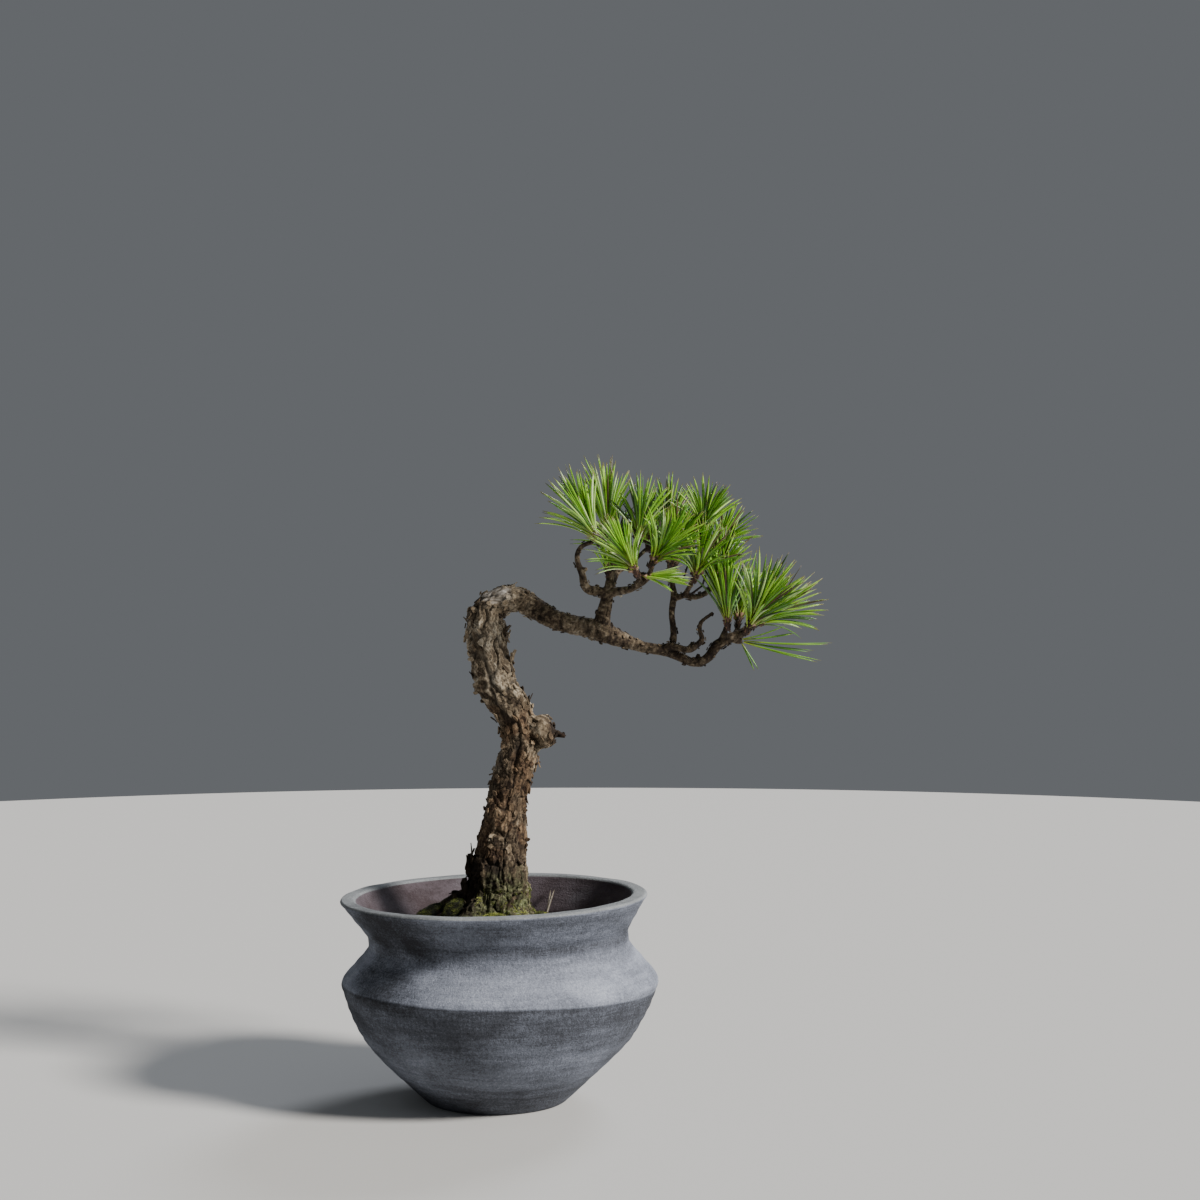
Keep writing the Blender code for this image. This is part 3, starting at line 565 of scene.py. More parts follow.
# ---- wood ----
def flaking_bark():
    """Old pine bark, grown in layers that lift and flake off: weathered grey and tan on the outermost layer,
    red-brown where one has just come away, near black in the cracks and at the foot of each layer's edge,
    partly the dark inner bark and partly painted shade, with torn pale wood and moss."""
    made = new_material("Pine bark, flaked and weathered")
    here = object_place(made)
    crack, shade, rust, moss, torn = (
        add(
            made, "Attribute", out="Fac", attribute_name=name,
        ) for name in ("crack", "shade", "rust", "moss", "torn")
    )
    mottle = add(made, "TexNoise", Vector=here, Scale=per_lump(4.5), Detail=6, Roughness=0.68)
    fine = add(made, "TexNoise", Vector=here, Scale=per_lump(1.1), Detail=5, Roughness=0.65)
    varied = add(made, "Math", shade, swing(made, fine, 0.9), operation="ADD")
    varied = add(made, "Math", varied, swing(made, mottle, 0.7), operation="ADD")
    layers = add(
        made, "ValToRGB", varied,
        stops=[
            (0.0, "#241c15"), (0.2, "#44382b"), (0.4, "#6f614e"), (0.6, "#938570"), (0.8, "#b4a995"),
            (1.0, "#cbc3b5"),
        ],
    )
    inner = add(made, "ValToRGB", varied, stops=[(0.1, "#35251a"), (0.5, "#745b42"), (0.9, "#a89374")])
    wood = add(
        made, "Mix", add(made, "Math", rust, 0.75, operation="MULTIPLY"), layers, inner, data_type="RGBA",
    )
    # painted shade: the cracks, creases and the foot of each layer's edge go near black, which is partly the
    # dark inner bark
    wood = add(
        made, "Mix", add(made, "Math", crack, 0.9, operation="MULTIPLY", use_clamp=True), wood, "#120c09",
        data_type="RGBA",
    )
    fibres = add(
        made, "TexNoise", Vector=object_place(made, (0.3, 1, 1)), Scale=per_lump(0.9), Detail=5,
        Roughness=0.6,
    )
    pale = add(made, "ValToRGB", fibres, stops=[(0.3, "#4b443d"), (0.5, "#8d877f"), (0.7, "#c2beb8")])
    wood = add(made, "Mix", torn, wood, pale, data_type="RGBA")
    green = add(made, "ValToRGB", fine, stops=[(0.3, "#272b18"), (0.55, "#6d7350"), (0.75, "#b3b692")])
    mossy = add(
        made, "Math", moss, add(made, "ValToRGB", mottle, stops=[(0.4, 0.0), (0.6, 1.0)]),
        operation="MULTIPLY",
    )
    first = add(made, "Bump", Strength=0.7, Distance=0.5 * MM, Height=mottle)
    return finished(
        made, Base_Color=add(made, "Mix", mossy, wood, green, data_type="RGBA"), Roughness=0.88,
        Specular_IOR_Level=0.25,
        Normal=add(made, "Bump", Strength=0.9, Distance=0.3 * MM, Height=fine, Normal=first),
    )


def along_wood(points):
    """Each point as if the wood were straight, with x and y round the nearest length of wood and z along it,
    in millimetres; the wood's radius there; and the wood's direction there."""
    best = np.full(len(points), np.inf)
    straight, radii, ways = np.zeros((len(points), 3)), np.zeros(len(points)), np.zeros((len(points), 3))
    run = 0.0
    for line in WOOD_LINES:
        for a, b in zip(line, line[1:]):
            start, step = np.array(a[:3]), np.array(b[:3]) - np.array(a[:3])
            length = np.linalg.norm(step)
            way = step / length
            share = np.clip((points - start) @ way / length, 0, 1)
            out = points - start - share[:, None] * step
            away = np.linalg.norm(out, axis=1)
            radius = a[3] + share * (b[3] - a[3])
            nearer = away - radius < best
            side = np.cross(way, (0, 1, 0))
            side /= np.linalg.norm(side)
            angle = np.arctan2(out @ side, out @ np.cross(side, way))
            found = np.stack([radius * np.cos(angle), radius * np.sin(angle), run + share * length], 1)
            straight[nearer], radii[nearer], ways[nearer] = found[nearer], radius[nearer], way
            best[nearer] = (away - radius)[nearer]
            run += length
        run += 40
    return straight, radii, ways


def stepped(field, steps):
    """The field in flat steps with steep edges, like layers of bark, and how near each place is to the foot
    of an edge."""
    level = field * steps
    share = level - np.floor(level)
    foot = smoothstep(0.42, 0.74, share) * (1 - smoothstep(0.8, 0.98, share))
    return (np.floor(level) + smoothstep(0.76, 1, share)) / steps, foot


def line_noise(points, size, seed, width):
    """1 along thin wandering lines, and 0 between them."""
    return np.exp(-np.square(noise_at(points, size, seed) / width))


def bark_relief(points):
    """Height in millimetres, and the values that the bark's material reads, at each point of the wood."""
    straight, radii, _ = along_wood(points)
    x, y, z = points.T
    thick = smoothstep(2.2, 7.5, radii)
    bough = smoothstep(6.6, 4.4, radii)
    low = smoothstep(138, 112, z) * thick
    bend = np.stack([noise_at(points, 5.5, seed) for seed in (5, 6, 7)], 1)
    warped = straight + 1.5 * bend * (0.3 + 0.7 * thick)[:, None]
    tall = warped * (1, 1, 0.42) * (1 + 0.5 * low)[:, None]
    flat = warped * (0.62, 0.62, 1.25)
    steps, foot = stepped(layered(tall, 4.6, 4, 20) * (1 - bough) + layered(flat, 2.7, 3, 30) * bough, 3.6)
    chips, chip_foot = stepped(layered(tall, 2.1, 3, 40) * (1 - bough) + layered(flat, 1.5, 2, 45) * bough, 3)
    fissure = line_noise(tall * (1, 1, 0.75), 6.4, 50, 0.085) * (1 - 0.75 * bough)
    split = line_noise(tall, 3.1, 51, 0.12) * (1 - 0.5 * bough)
    across = line_noise(flat, 4.2, 52, 0.09) * smoothstep(-0.1, 0.3, noise_at(points, 9, 53))
    rings = noise_at(straight * (0.35, 0.35, 1), 1.5, 62)
    height = 1.15 * steps + 0.5 * chips - 1.15 * fissure - 0.4 * split - 0.6 * across * (0.4 + 0.6 * thick)
    height += 0.24 * layered(straight * (1, 1, 0.55), 1.25, 2, 60) + 0.75 * noise_at(points, 10, 61)
    height = height * (1 - 0.35 * bough) + 1.15 * rings * bough
    # dark in fissures, in the creases of the bough and at the foot of each layer's edge: partly dark inner
    # bark, partly painted shade
    crack = np.maximum.reduce([
        foot * 0.85, chip_foot * 0.5, fissure, split * 0.6, across * 0.8,
        smoothstep(-0.05, -0.5, rings) * bough * 0.9,
    ])
    shade = 0.5 + 0.32 * steps + 0.14 * chips + 0.22 * noise_at(points, 13, 63) - 0.12 * low
    # the thin wood darkens towards the right end of the bough: partly the twigs' own darker bark, partly
    # painted shade
    shade += 0.1 * smoothstep(170, 190, z) * thick - 0.1 * (1 - thick) * smoothstep(60, 90, x)
    # painted shade: the low trunk is darkened on its left side
    shade -= 0.42 * smoothstep(114, 90, z) * smoothstep(6, -6, x) + 0.12 * bough
    middle = smoothstep(92, 118, z) * smoothstep(172, 150, z)
    rust = smoothstep(0.05, 0.4, noise_at(points, 9, 64) + 0.5 * middle - 0.25)
    rust *= (1 - 0.7 * bough) * smoothstep(205, 190, z)
    for px, py, pz, reach, depth in SCARS:
        away = np.linalg.norm(points - (px, py, pz), axis=1)
        near = smoothstep(reach, reach * 0.55, away)
        turn = np.arctan2(z - pz, x - px)
        ring = np.cos((away + 0.7 * noise_at(points, 3, 65)) * math.tau / 3.3 + 0.5 * np.sin(turn + 0.6))
        open_side = 0.35 + 0.65 * smoothstep(-0.8, 0.2, np.cos(turn - 0.4))
        height = height * (1 - 0.6 * near) + near * depth * 0.5 * ring * open_side
        crack = crack * (1 - 0.6 * near) + near * depth * smoothstep(0.1, -0.9, ring) * 0.7 * open_side
        shade += 0.14 * near * ring * depth
    ragged = np.linalg.norm((points - TORN_AT) / TORN_SIZE, axis=1) + 0.42 * noise_at(points, 3.4, 66)
    torn = smoothstep(1.05, 0.8, ragged)
    grain = line_noise(points * (0.4, 1, 1), 2.2, 67, 0.14)
    height = height * (1 - 0.7 * torn) - torn * (0.5 + 0.7 * grain)
    crack = np.maximum(crack * (1 - 0.7 * torn), grain * torn * 0.9)
    moss = smoothstep(103, 84, z + 6 * noise_at(points, 6, 68)) * smoothstep(-6, 9, x - 0.5 * y) * (z < 110)
    stub = smoothstep(22, 25.5, x) * (z > 150) * (z < 162) * (x < 34)
    height *= (0.14 + 0.86 * thick) * (1 - 0.3 * bough)
    return np.clip(height, -1.5, 1.4), {
        "crack": np.clip(crack, 0, 1),
        "shade": np.clip(shade - 0.45 * stub, 0, 1),
        "rust": rust,
        "moss": np.clip(moss + 0.6 * smoothstep(88, 78, z), 0, 1),
        "torn": torn * (1 - 0.8 * grain),
    }


def bark_covered_wood(finish):
    mesh = with_modifiers(
        merged_copy("trunk_and_branches"),
        ("REMESH", {"mode": "VOXEL", "voxel_size": BARK_GRID * MM}),
        ("SMOOTH", {"iterations": 8, "factor": 0.5}),
    )
    points, outward = places(mesh), normals_of(mesh)
    height, values = bark_relief(points)
    place(mesh, points + outward * height[:, None])
    for name, value in values.items():
        set_values(mesh, name, value)
    shown = with_modifiers(mesh.copy(), ("DECIMATE", {"ratio": BARK_KEPT}))
    finish_mesh("bark_covered_wood", shown, finish, ["trunk_and_branches"])
    return mesh, values


def add_flake(shape, at, out, way, long, wide, lifted, curl, values, rng):
    """A thin chip of bark: its outline is torn, one end stands off the wood, and its sides curl."""
    layers = {name: shape.verts.layers.float[name] for name in values}
    side = out.cross(way).normalized()
    up = side.cross(out).normalized()
    verts = bmesh.ops.create_circle(shape, cap_ends=True, cap_tris=True, segments=9, radius=1)["verts"]
    thick = 0.3 + 0.25 * rng.random()
    for v in verts:
        u, t = v.co.x, v.co.y
        torn = 1 + (rng.uniform(-0.38, 0.3) if v.co.length > 0.5 else 0)
        u, t = u * torn * wide / 2, t * torn * long / 2
        share = 0.5 + t / long
        off = 0.2 + math.sin(lifted) * share * share * long + curl * (u / wide) ** 2 * wide
        v.co = in_frame(at + up * t * math.cos(lifted * share) + side * u + out * off)
        for name, value in values.items():
            v[layers[name]] = value
    faces = list({f for v in verts for f in v.link_faces})
    bmesh.ops.recalc_face_normals(shape, faces=faces)
    bmesh.ops.solidify(shape, geom=faces, thickness=thick * MM)


def bark_flakes(mesh, values, finish):
    """Loose chips all over the bark, and the few large curls that stand off the trunk."""
    rng = random.Random(8)
    shape = new_shape(*values)
    points, outward = places(mesh), normals_of(mesh)
    _, radii, ways = along_wood(points)
    for i in scatter(
        points, lambda p: 0.9 + 0.22 * np.minimum(along_wood(p)[1], 9), np.random.default_rng(21),
    ):
        here = {name: float(value[i]) for name, value in values.items()}
        if points[i][2] < 82 or here["torn"] > 0.3 or rng.random() < 0.45:
            continue
        slim = radii[i] < 5.4
        if slim and rng.random() < 0.55:
            continue
        size = 0.3 + 0.085 * min(float(radii[i]), 9)
        here["crack"] = rng.choice((0, 0, 0.15, 0.4))
        here["shade"] = min(0.78, max(0, here["shade"] + rng.uniform(-0.3, 0.16)))
        way = Vector(ways[i]) + Vector([rng.uniform(-0.4, 0.4) for _ in range(3)])
        add_flake(
            shape, Vector(points[i]), Vector(outward[i]), way * rng.choice((-1, 1)),
            rng.uniform(1.8, 4.2) * size, rng.uniform(1.3, 2.9) * size,
            math.radians(rng.choice((2, 4, 7) if slim else (2, 5, 8, 12, 22)) * rng.uniform(0.6, 1.1)),
            rng.uniform(-0.3, 0.4), here, rng,
        )
    for at, out, way, long, wide, lifted, shade in CURLS:
        here = {"crack": 0.2, "shade": shade, "rust": 0, "moss": 0, "torn": 0}
        for k in range(3):
            shift = Vector([rng.uniform(-0.5, 0.5) for _ in range(3)]) * k * 0.8
            add_flake(
                shape, Vector(at) + shift, Vector(out).normalized(), Vector(way), long * (1 - 0.22 * k),
                wide * (1 - 0.2 * k), math.radians(lifted - 9 * k), 0.6, here, rng,
            )
    bmesh.ops.recalc_face_normals(shape, faces=shape.faces)
    finish_piece("bark_flakes", shape, finish, smooth=False)


def tree_wood():
    finish = flaking_bark()
    mesh, values = bark_covered_wood(finish)
    bark_flakes(mesh, values, finish)
    return mesh


# ---- needles ----
def waxy_needle():
    """Pine needle, waxy: dark green to pale yellow-green by each needle's tone, which is set lighter on the
    front shoots and darker on the back ones as painted light and shade;
    paler blue-green in patches, partly the waxy bloom and partly painted sheen; yellow at the foot, and brown
    at the tip of some and all over a few old ones."""
    made = new_material("Pine needle, waxy green")
    tone, along = (add(made, "Attribute", out="Fac", attribute_name=name) for name in ("tone", "along"))
    patchy = add(made, "TexNoise", Vector=object_place(made), Scale=per_lump(16), Detail=3, Roughness=0.5)
    shade = add(made, "Math", tone, swing(made, patchy, 0.35), operation="ADD")
    green = add(
        made, "ValToRGB", shade,
        stops=[
            (0.0, "#5a4a33"), (0.05, "#27430c"), (0.3, "#4b8012"), (0.55, "#7fb51d"), (0.8, "#a5cf4b"),
            (1.0, "#c8dfa2"),
        ],
    )
    # painted sheen: patches of paler blue-green, which are partly also the needles' waxy bloom
    blue = add(made, "MapRange", patchy, 0.52, 0.66, 0.0, 0.3)
    green = add(made, "Mix", blue, green, "#7fa873", data_type="RGBA")
    foot = add(made, "ValToRGB", along, stops=[(0.0, 1.0), (0.3, 0.0)])
    green = add(
        made, "Mix", add(made, "Math", foot, 0.55, operation="MULTIPLY"), green, "#b3a83c",
        data_type="RGBA",
    )
    tip = add(
        made, "ValToRGB",
        add(made, "Math", along, add(made, "Math", tone, 0.07, operation="MULTIPLY"), operation="ADD"),
        stops=[(0.95, 0.0), (1.0, 1.0)],
    )
    green = add(
        made, "Mix", add(made, "Math", tip, 0.8, operation="MULTIPLY"), green, "#6b4f2c", data_type="RGBA",
    )
    return finished(
        made, Base_Color=green, Roughness=0.38, Specular_IOR_Level=0.5, Subsurface_Weight=0.15,
        Subsurface_Radius=(0.001, 0.002, 0.0004),
        Normal=add(
            made, "Bump", Strength=0.5, Distance=0.05 * MM,
            Height=add(
                made, "TexNoise", Vector=object_place(made), Scale=per_lump(0.5), Detail=2, Roughness=0.5,
            ),
        ),
    )


def papery_bud_scale():
    """Bud scales and needle sheaths, dry and papery: red-brown, some darker and some paler, with a fine
    mottle.
    """
    made = new_material("Bud scale, dry papery brown")
    mottle = add(made, "TexNoise", Vector=object_place(made), Scale=per_lump(1.1), Detail=4, Roughness=0.6)
    shade = add(
        made, "Math", add(made, "Attribute", out="Fac", attribute_name="tone"), swing(made, mottle, 0.6),
        operation="ADD",
    )
    return finished(
        made,
        Base_Color=add(
            made, "ValToRGB", shade,
            stops=[(0.0, "#17100d"), (0.3, "#38261e"), (0.55, "#654636"), (0.8, "#94735a"), (1.0, "#c2ad90")],
        ),
        Roughness=0.7, Normal=add(made, "Bump", Strength=0.8, Distance=0.25 * MM, Height=mottle),
    )


def needle_template(stations=9):
    """One needle of unit size along Z: a half-round blade that narrows to a point, with its share of the
    length kept at each vertex."""
    shape = new_shape("along", "tone")
    along = shape.verts.layers.float["along"]
    face = shape.faces.new(
        [shape.verts.new(p) for p in ((-0.5, 0, 0), (0.5, 0, 0), (0.3, 0.75, 0), (-0.3, 0.75, 0))]
    )
    width = 0.75
    bmesh.ops.scale(shape, verts=shape.verts, vec=(width, width, 1))
    for k in range(1, stations + 1):
        t = k / stations
        wider = 1 if t < 0.7 else 1 - 0.85 * ((t - 0.7) / 0.3) ** 1.6
        face = bmesh.ops.extrude_discrete_faces(shape, faces=[face])["faces"][0]
        for v in face.verts:
            v.co = Vector((v.co.x * wider / width, v.co.y * wider / width, t))
            v[along] = t
        width = wider
    bmesh.ops.recalc_face_normals(shape, faces=shape.faces)
    return as_mesh("needle_template", shape)


def copied(shape, template):
    """The vertices of a copy of the template in the shape."""
    first = len(shape.verts)
    shape.from_mesh(template)
    shape.verts.ensure_lookup_table()
    return shape.verts[first:]


def turn_to(aim):
    """The turn that brings Z to the aim."""
    return aim.to_track_quat("Z", "Y").to_matrix().to_4x4()


def grow(shape, template, foot, way, bend, flat, length, width, tone_value):
    """Adds a needle from its foot: it sets off one way and its path bends off by this much of its length."""
    tone = shape.verts.layers.float["tone"]
    side = way.cross(flat).normalized()
    facing = side.cross(way).normalized()
    for v in copied(shape, template):
        t = v.co.z
        at = foot + (way * t + bend * t * t) * length
        v.co = in_frame(at + side * (v.co.x * width) + facing * (v.co.y * width * NEEDLE_FLATNESS))
        v[tone] = tone_value


def turned_from(axis, lean, angle):
    """A direction that leans this many degrees off the axis, at this angle round it."""
    out = Matrix.Rotation(angle, 3, axis) @ axis.orthogonal().normalized()
    return (axis * math.cos(math.radians(lean)) + out * math.sin(math.radians(lean))).normalized()


def kept_inside(start, way, bend, length):
    """The length at which the needle's tip stays in the frame's box."""
    low, high = ((corner - AXIS) / MM for corner in CAD_BOX)
    for _ in range(20):
        tip = start + (way + bend) * length
        if all(low[i] + 0.5 < tip[i] < high[i] - 0.2 for i in range(3)):
            break
        length *= 0.97
    return length


def pair_of_needles(shape, template, start, aim, axis, length, tones, rng):
    """Two needles from one sheath, which set off along the shoot and part towards their tips."""
    across = aim.cross(axis) if aim.cross(axis).length > 0.05 else aim.orthogonal()
    across = Matrix.Rotation(rng.uniform(-1.2, 1.2), 3, aim) @ across.normalized()
    way = (aim * (1 - NEEDLE_GATHER) + axis * NEEDLE_GATHER).normalized()
    apart, swerve = rng.uniform(0.02, 0.085), rng.uniform(-0.06, 0.06)
    for sign in (-1, 1):
        bend = (aim - way) * 0.9 + across * (sign * apart + swerve) + Vector(
            (0, 0, rng.uniform(-0.06, 0.015)),
        )
        grown = kept_inside(start, way, bend, length * rng.uniform(0.93, 1.03))
        tone = min(1, max(0.06, rng.gauss(*tones))) if rng.random() > 0.05 else rng.uniform(-0.1, 0.1)
        grow(shape, template, start + across * sign * 0.28, way, bend, across * sign, grown,
             NEEDLE_WIDTH * rng.uniform(0.85, 1.1), tone)


def shoots_and_needles():
    green, brown = waxy_needle(), papery_bud_scale()
    template = needle_template()
    rng = random.Random(4)
    stems = new_shape("tone")
    names = dict.fromkeys([shoot[0] for shoot in SHOOTS] + ["end_low"])
    shapes = {name: new_shape("along", "tone") for name in names}
    for name, foot, way, length, spread, pairs, tone in SHOOTS:
        axis, foot = Vector(way).normalized(), Vector(foot)
        reach = length * 0.2
        shoot_stem(stems, foot - axis * 2.5, axis, reach + 2.5, rng)
        for k in range(pairs):
            share = (k + 0.5) / pairs
            lean = spread * (1 - 0.92 * share**1.3) + rng.uniform(-8, 8)
            aim = turned_from(axis, lean, k * 2.39996 + rng.uniform(-0.6, 0.6))
            start = foot + axis * (reach * share**0.8) + (aim - axis * aim.dot(axis)) * 0.9
            sheath(stems, start, aim, rng)
            grown = length * rng.uniform(0.78, 1.05) * (1 - 0.14 * (lean / spread) ** 2) - reach * share * 0.6
            pair_of_needles(shapes[name], template, start, aim, axis, grown, (tone, 0.22), rng)
    for foot, tip, sag in LONG_NEEDLES:
        foot, tip = Vector(foot), Vector(tip)
        bend = Vector((0, 0, sag))
        for k in range(2):
            end = tip + Vector((-1.6, 0.9, -0.7)) * k
            way = (end - foot) / (end - foot).length
            grow(shapes["end_low"], template, foot + Vector((0, 0.6 * k, 0)), way - bend, bend,
                 Vector((0, 0, 1)), (end - foot).length, NEEDLE_WIDTH, 0.25 + 0.4 * rng.random())
    for name, shape in shapes.items():
        finish_piece("pine_needles_" + name, shape, green, ["needles_" + name])
    dead_twigs(stems, rng)
    finish_piece("shoots_and_buds", stems, brown)


def add_cone(shape, at, aim, long, foot_radius, end_radius, segments, shade):
    """A cone that grows from a place in the direction of the aim."""
    tone = shape.verts.layers.float["tone"]
    made = bmesh.ops.create_cone(
        shape, cap_ends=True, segments=segments, radius1=foot_radius * MM, radius2=end_radius * MM,
        depth=long * MM, matrix=Matrix.Translation(in_frame(at + aim * long / 2)) @ turn_to(aim),
    )["verts"]
    for v in made:
        v[tone] = shade


def shoot_stem(shape, foot, axis, length, rng):
    """The young stem of a shoot with its spiral of scales, ending in a pointed bud."""
    add_cone(shape, foot, axis, length, 1.35, 1.0, 8, 0.3)
    add_cone(shape, foot + axis * length, axis, 2.2, 1.15, 0.15, 8, 0.6)
    for k in range(30):
        share = k / 29
        aim = turned_from(axis, 30 - 12 * share, k * 2.39996)
        at = foot + axis * (length * share) + (aim - axis * aim.dot(axis)).normalized() * (1.1 - 0.25 * share)
        add_cone(shape, at - aim * 0.4, aim, rng.uniform(1.5, 2.6), 0.55, 0.04, 4, rng.uniform(0, 0.65))


def sheath(shape, start, aim, rng):
    """The papery sheath that holds a pair of needles together at its foot."""
    add_cone(shape, start - aim * 0.4, aim, rng.uniform(2, 3.2), 0.5, 0.78, 6, rng.uniform(0.2, 0.9))


def dead_twigs(shape, rng):
    """Fine dead twigs among the shoots, with the knobs where needles grew."""
    for line in DEAD_TWIGS:
        for a, b in zip(line, line[1:]):
            a, b = Vector(a), Vector(b)
            aim = (b - a).normalized()
            add_cone(shape, a, aim, (b - a).length + 0.2, 0.5, 0.4, 6, 0.12)
            for k in range(4):
                out = turned_from(aim, 60, rng.uniform(0, math.tau))
                add_cone(
                    shape, a.lerp(b, rng.random()), out, rng.uniform(0.7, 1.2), 0.3, 0.1, 4,
                    rng.uniform(0, 0.3),
                )


# ---- soil and moss ----
def soil_height(x, y):
    across = ((x - MOUND_CENTRE[0]) / MOUND_SPREAD[0]) ** 2 + ((y - MOUND_CENTRE[1]) / MOUND_SPREAD[1]) ** 2
    return SOIL_LEVEL + MOUND_HEIGHT * np.exp(-across)


def damp_soil():
    """Fired clay granules and bark mould, damp: near black to red-brown lumps, matt."""
    made = new_material("Potting soil, damp clay granules")
    tone = add(made, "Attribute", out="Fac", attribute_name="tone")
    mottle = add(made, "TexNoise", Vector=object_place(made), Scale=per_lump(1.6), Detail=5, Roughness=0.65)
    shade = add(
        made, "Math", add(made, "Math", tone, 0.6, operation="MULTIPLY"),
        add(made, "Math", mottle, 0.5, operation="MULTIPLY"), operation="ADD",
    )
    return finished(
        made,
        Base_Color=add(
            made, "ValToRGB", shade,
            stops=[(0.2, "#17110e"), (0.45, "#2f231b"), (0.68, "#4b3829"), (0.9, "#6e5a45")],
        ),
        Roughness=0.9,
        Normal=add(
            made, "Bump", Strength=0.9, Distance=0.35 * MM,
            Height=add(
                made, "TexNoise", Vector=object_place(made), Scale=per_lump(0.6), Detail=4, Roughness=0.6,
            ),
        ),
    )


def soil():
    finish = damp_soil()
    repaint("soil", finish)
    rng = random.Random(12)
    shape = new_shape("tone")
    tone = shape.verts.layers.float["tone"]
    made_at = []
    wall = NECK_RADIUS - WALL
    while len(made_at) < 2600:
        r, a = (wall + 0.5) * math.sqrt(rng.random()), rng.uniform(0, math.tau)
        x, y = r * math.cos(a), r * math.sin(a)
        size = rng.choice((0.75, 0.95, 1.15, 1.4, 1.75)) * rng.uniform(0.85, 1.1)
        if r + size > wall + 1 or math.hypot(x, y) < 11:
            continue
        z = float(soil_height(x, y)) + size * rng.uniform(-0.25, 0.55)
        made_at.append((x, y, z))
        turn = Matrix.Rotation(
            rng.uniform(0, math.tau), 4, Vector((rng.random(), rng.random(), 0.3)).normalized(),
        )
        squash = Matrix.Diagonal((rng.uniform(0.75, 1.2), rng.uniform(0.75, 1.2), rng.uniform(0.6, 1), 1))
        verts = bmesh.ops.create_icosphere(
            shape, subdivisions=1, radius=size * MM,
            matrix=Matrix.Translation(in_frame((x + 0.8, y, z))) @ turn @ squash,
        )["verts"]
        shade = rng.random()
        for v in verts:
            v.co += Vector((rng.uniform(-1, 1), rng.uniform(-1, 1), rng.uniform(-1, 1))) * size * 0.16 * MM
            v[tone] = shade
    finish_piece("soil_granules", shape, finish, smooth=False)


def cushion_moss():
    """Cushion moss, living: fine pointed leaves, olive in the depth and yellow-green at the tips."""
    made = new_material("Cushion moss, living")
    tone, along = (add(made, "Attribute", out="Fac", attribute_name=name) for name in ("tone", "along"))
    shade = add(
        made, "Math", tone,
        add(made, "Math", add(made, "Math", along, 0.6, operation="MULTIPLY"), 0.45, operation="ADD"),
        operation="MULTIPLY",
    )
    return finished(
        made,
        Base_Color=add(
            made, "ValToRGB", shade,
            stops=[
                (0.05, "#14160b"), (0.3, "#383d1b"), (0.6, "#7c8539"), (0.85, "#b4ba5c"), (1.0, "#d2d58d"),
            ],
        ),
        Roughness=0.8, Subsurface_Weight=0.1, Subsurface_Radius=(0.001, 0.0015, 0.0004),
    )


def sprig_template():
    """One sprig of moss of unit size: a rosette of pointed leaves."""
    shape = new_shape("along", "tone")
    along = shape.verts.layers.float["along"]
    for k in range(6):
        aim = turned_from(Vector((0, 0, 1)), 12 if k == 0 else 48, k * math.tau / 5)
        verts = bmesh.ops.create_cone(
            shape, cap_ends=True, segments=3, radius1=0.17, radius2=0.01, depth=1,
            matrix=turn_to(aim) @ Matrix.Translation((0, 0, 0.5)),
        )["verts"]
        for v in verts:
            v[along] = v.co.length
    return as_mesh("sprig_template", shape)


def plant_sprig(shape, template, at, up, size, shade):
    tone = shape.verts.layers.float["tone"]
    put = Matrix.Translation(in_frame(at)) @ turn_to(up) @ Matrix.Scale(size * MM, 4)
    for v in copied(shape, template):
        v.co = put @ v.co
        v[tone] = shade


def moss(wood):
    finish, template = cushion_moss(), sprig_template()
    rng = random.Random(30)
    for name, (bright, count) in MOSS.items():
        shape = new_shape("along", "tone")
        base = with_modifiers(merged_copy(name), ("REMESH", {"mode": "VOXEL", "voxel_size": 0.8 * MM}))
        points, outward = places(base), normals_of(base)
        points -= outward * (0.3 + 1.1 * np.abs(layered(points, 4, 3, 32)))[:, None] * (outward[:, 2:] > -0.2)
        place(base, points)
        shape.from_mesh(base)
        tops = [i for i in range(len(points)) if outward[i][2] > 0.05]
        for _ in range(count):
            i = rng.choice(tops)
            up = Vector(outward[i]) + Vector((rng.uniform(-0.5, 0.5), rng.uniform(-0.5, 0.5), 0.5))
            up.normalize()
            lump = noise.noise(Vector(points[i]) / 3)
            plant_sprig(shape, template, Vector(points[i]) - up * 0.3, up, rng.uniform(0.6, 1.25),
                        min(1, max(0, bright + 0.5 * lump + rng.uniform(-0.25, 0.25))))
        finish_piece(name.replace("moss_", "cushion_moss_"), shape, finish, [name], smooth=False)
    shape = new_shape("along", "tone")
    points, outward = places(wood), normals_of(wood)
    x, y, z = points.T
    wanted = smoothstep(97, 84, z + 6 * noise_at(points, 6, 31)) * smoothstep(-7, 6, x - 0.5 * y) * (z > 75)
    bright = np.full(len(points), 0.45)
    for middle, reach, shade in MOSS_CLUMPS:
        near = smoothstep(reach, reach * 0.5, np.linalg.norm(points - middle, axis=1))
        wanted, bright = np.maximum(wanted, near), np.maximum(bright, shade * near)
    likely = [i for i in range(len(points)) if wanted[i] > 0.35]
    for i in rng.sample(likely, min(1100, len(likely))):
        if rng.random() > wanted[i]:
            continue
        up = (Vector(outward[i]) + Vector((rng.uniform(-0.4, 0.4), rng.uniform(-0.4, 0.4), 0.6))).normalized()
        plant_sprig(shape, template, Vector(points[i]) - up * 0.25, up, rng.uniform(0.5, 1.05),
                    min(1, max(0, bright[i] + rng.uniform(-0.4, 0.3))))
    finish_piece("moss_on_bark", shape, finish, smooth=False)


# ---- small parts ----
def repaint(name, finish):
    """Gives a node of the frame its finish."""
    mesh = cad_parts[name].data
    mesh.materials.clear()
    mesh.materials.append(finish)


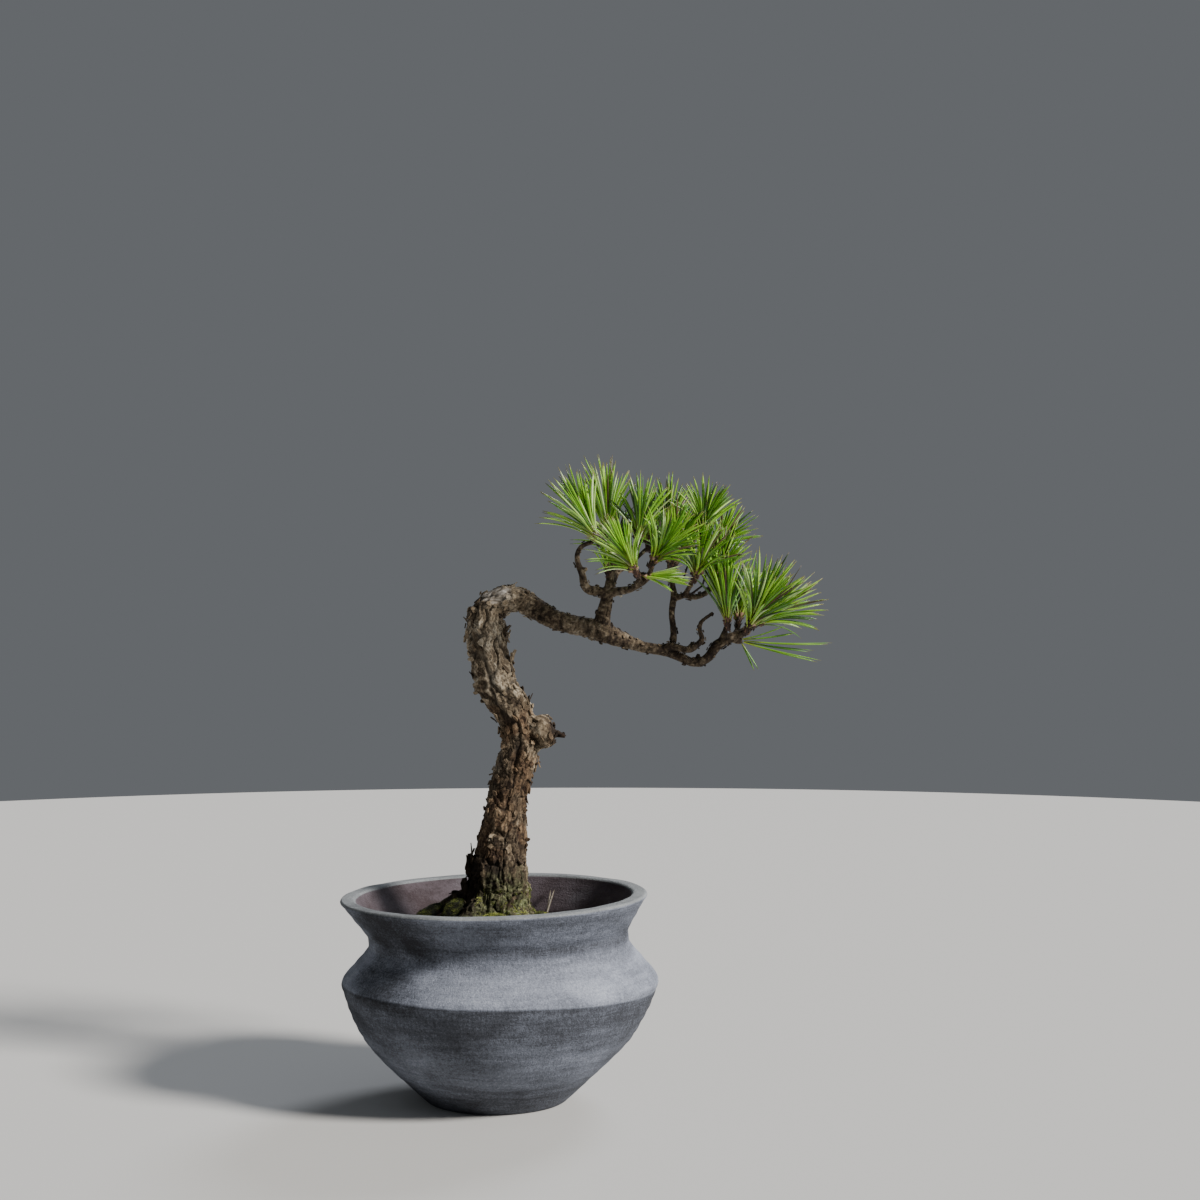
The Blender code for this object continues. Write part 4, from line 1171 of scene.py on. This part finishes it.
def moulded_net():
    """Polypropylene net, moulded: black with a dull sheen and patches of dust."""
    made = new_material("Polypropylene net, moulded black")
    dust = add(made, "TexNoise", Vector=object_place(made), Scale=per_lump(2.5), Detail=4, Roughness=0.6)
    return finished(
        made, Base_Color=add(made, "ValToRGB", dust, stops=[(0.4, "#111213"), (0.75, "#3b3632")]),
        Roughness=0.5, Normal=add(made, "Bump", Strength=0.4, Distance=0.05 * MM, Height=dust),
    )


def drawn_wire():
    """Aluminium wire, drawn and handled: pale, with dull patches."""
    made = new_material("Aluminium wire, drawn")
    dull = add(made, "TexNoise", Vector=object_place(made), Scale=per_lump(3), Detail=4, Roughness=0.6)
    rough = add(made, "MapRange", dull, 0, 1, 0.25, 0.5)
    return finished(
        made, Base_Color=add(made, "ValToRGB", dull, stops=[(0.3, "#8e8d8a"), (0.7, "#c4c3c0")]),
        Metallic=1, Roughness=rough,
    )


def washed_grit():
    """Pumice and river grit, washed: pale grey and tan stones packed together."""
    made = new_material("Pumice and grit, washed")
    stones = add(made, "TexVoronoi", out="Color", Vector=object_place(made), Scale=per_lump(3.4))
    return finished(
        made,
        Base_Color=add(
            made, "ValToRGB", stones, stops=[(0.2, "#7c7365"), (0.5, "#a39a8a"), (0.8, "#c9c2b4")],
        ),
        Roughness=0.9,
        Normal=add(made, "Bump", Strength=0.9, Distance=1.0 * MM, Height=stones.node.outputs["Distance"]),
    )


def dry_needle():
    """A fallen pine needle, dry: straw brown and matt."""
    made = new_material("Fallen pine needle, dry")
    mottle = add(made, "TexNoise", Vector=object_place(made), Scale=per_lump(1.8), Detail=3, Roughness=0.5)
    return finished(
        made, Base_Color=add(made, "ValToRGB", mottle, stops=[(0.3, "#544c40"), (0.7, "#7b7161")]),
        Roughness=0.6,
    )


def fallen_pair():
    shape = new_shape("along", "tone")
    template = needle_template()
    foot = Vector((20.4, 24.2, 73.6))
    for tip, bow in (((21.8, 49.6, 81.9), -0.03), ((23.6, 48.8, 82.1), 0.03)):
        way = Vector(tip) - foot
        long = way.length
        bend = Vector((bow, 0, 0))
        grow(shape, template, foot, way / long - bend, bend, Vector((0, 0, 1)), long, 1, 0.5)
    finish_piece("fallen_pine_needles", shape, dry_needle(), ["fallen_needle_pair"])


# ---- stage ----
def stage():
    paper = finished(new_material("Studio floor, matt pale paper"), Base_Color="#c9c9c7", Roughness=0.9)
    bpy.ops.mesh.primitive_circle_add(vertices=160, radius=1.4, fill_type="NGON", location=(0, 0, -0.0002))
    floor = bpy.context.active_object
    floor.name = "studio_floor"
    floor.data.materials.append(paper)
    world = bpy.data.worlds.new("Studio")
    bpy.context.scene.world = world
    world.use_nodes = True
    sky = world.node_tree.nodes["Background"].inputs
    sky["Color"].default_value, sky["Strength"].default_value = linear("#b9bec4"), 0.27
    soft_light("Key", (0.87, -0.44, 0.64), 12, 6.0, "#fffaf4")
    soft_light("Rim", (0.4, 0.8, 0.7), 20, 1.2, "#f2f6ff")


def soft_light(name, way, spread, strength, colour):
    """A light far off in this direction, as broad in the sky as its spread in degrees."""
    data = bpy.data.lights.new(name, "SUN")
    data.angle, data.energy, data.color = math.radians(spread), strength, linear(colour)[:3]
    lamp = new_object(name, data)
    lamp.location = way
    lamp.rotation_euler = Vector(way).to_track_quat("Z", "Y").to_euler()


def camera():
    """Level with the bough and a little to its side, as one sees the plant on a table."""
    data = bpy.data.cameras.new("Camera")
    data.lens = 59.1
    data.sensor_width = 36
    data.clip_start = 0.01
    made = new_object("Camera", data)
    made.location = in_frame((44.4, -850, 214.3))
    made.rotation_euler = (math.pi / 2, 0, 0)
    bpy.context.scene.camera = made


def main():
    pot()
    wood = tree_wood()
    shoots_and_needles()
    soil()
    moss(wood)
    fallen_pair()
    repaint("drain_mesh", moulded_net())
    repaint("mesh_clip", drawn_wire())
    repaint("grit_layer", washed_grit())
    stage()
    camera()


main()
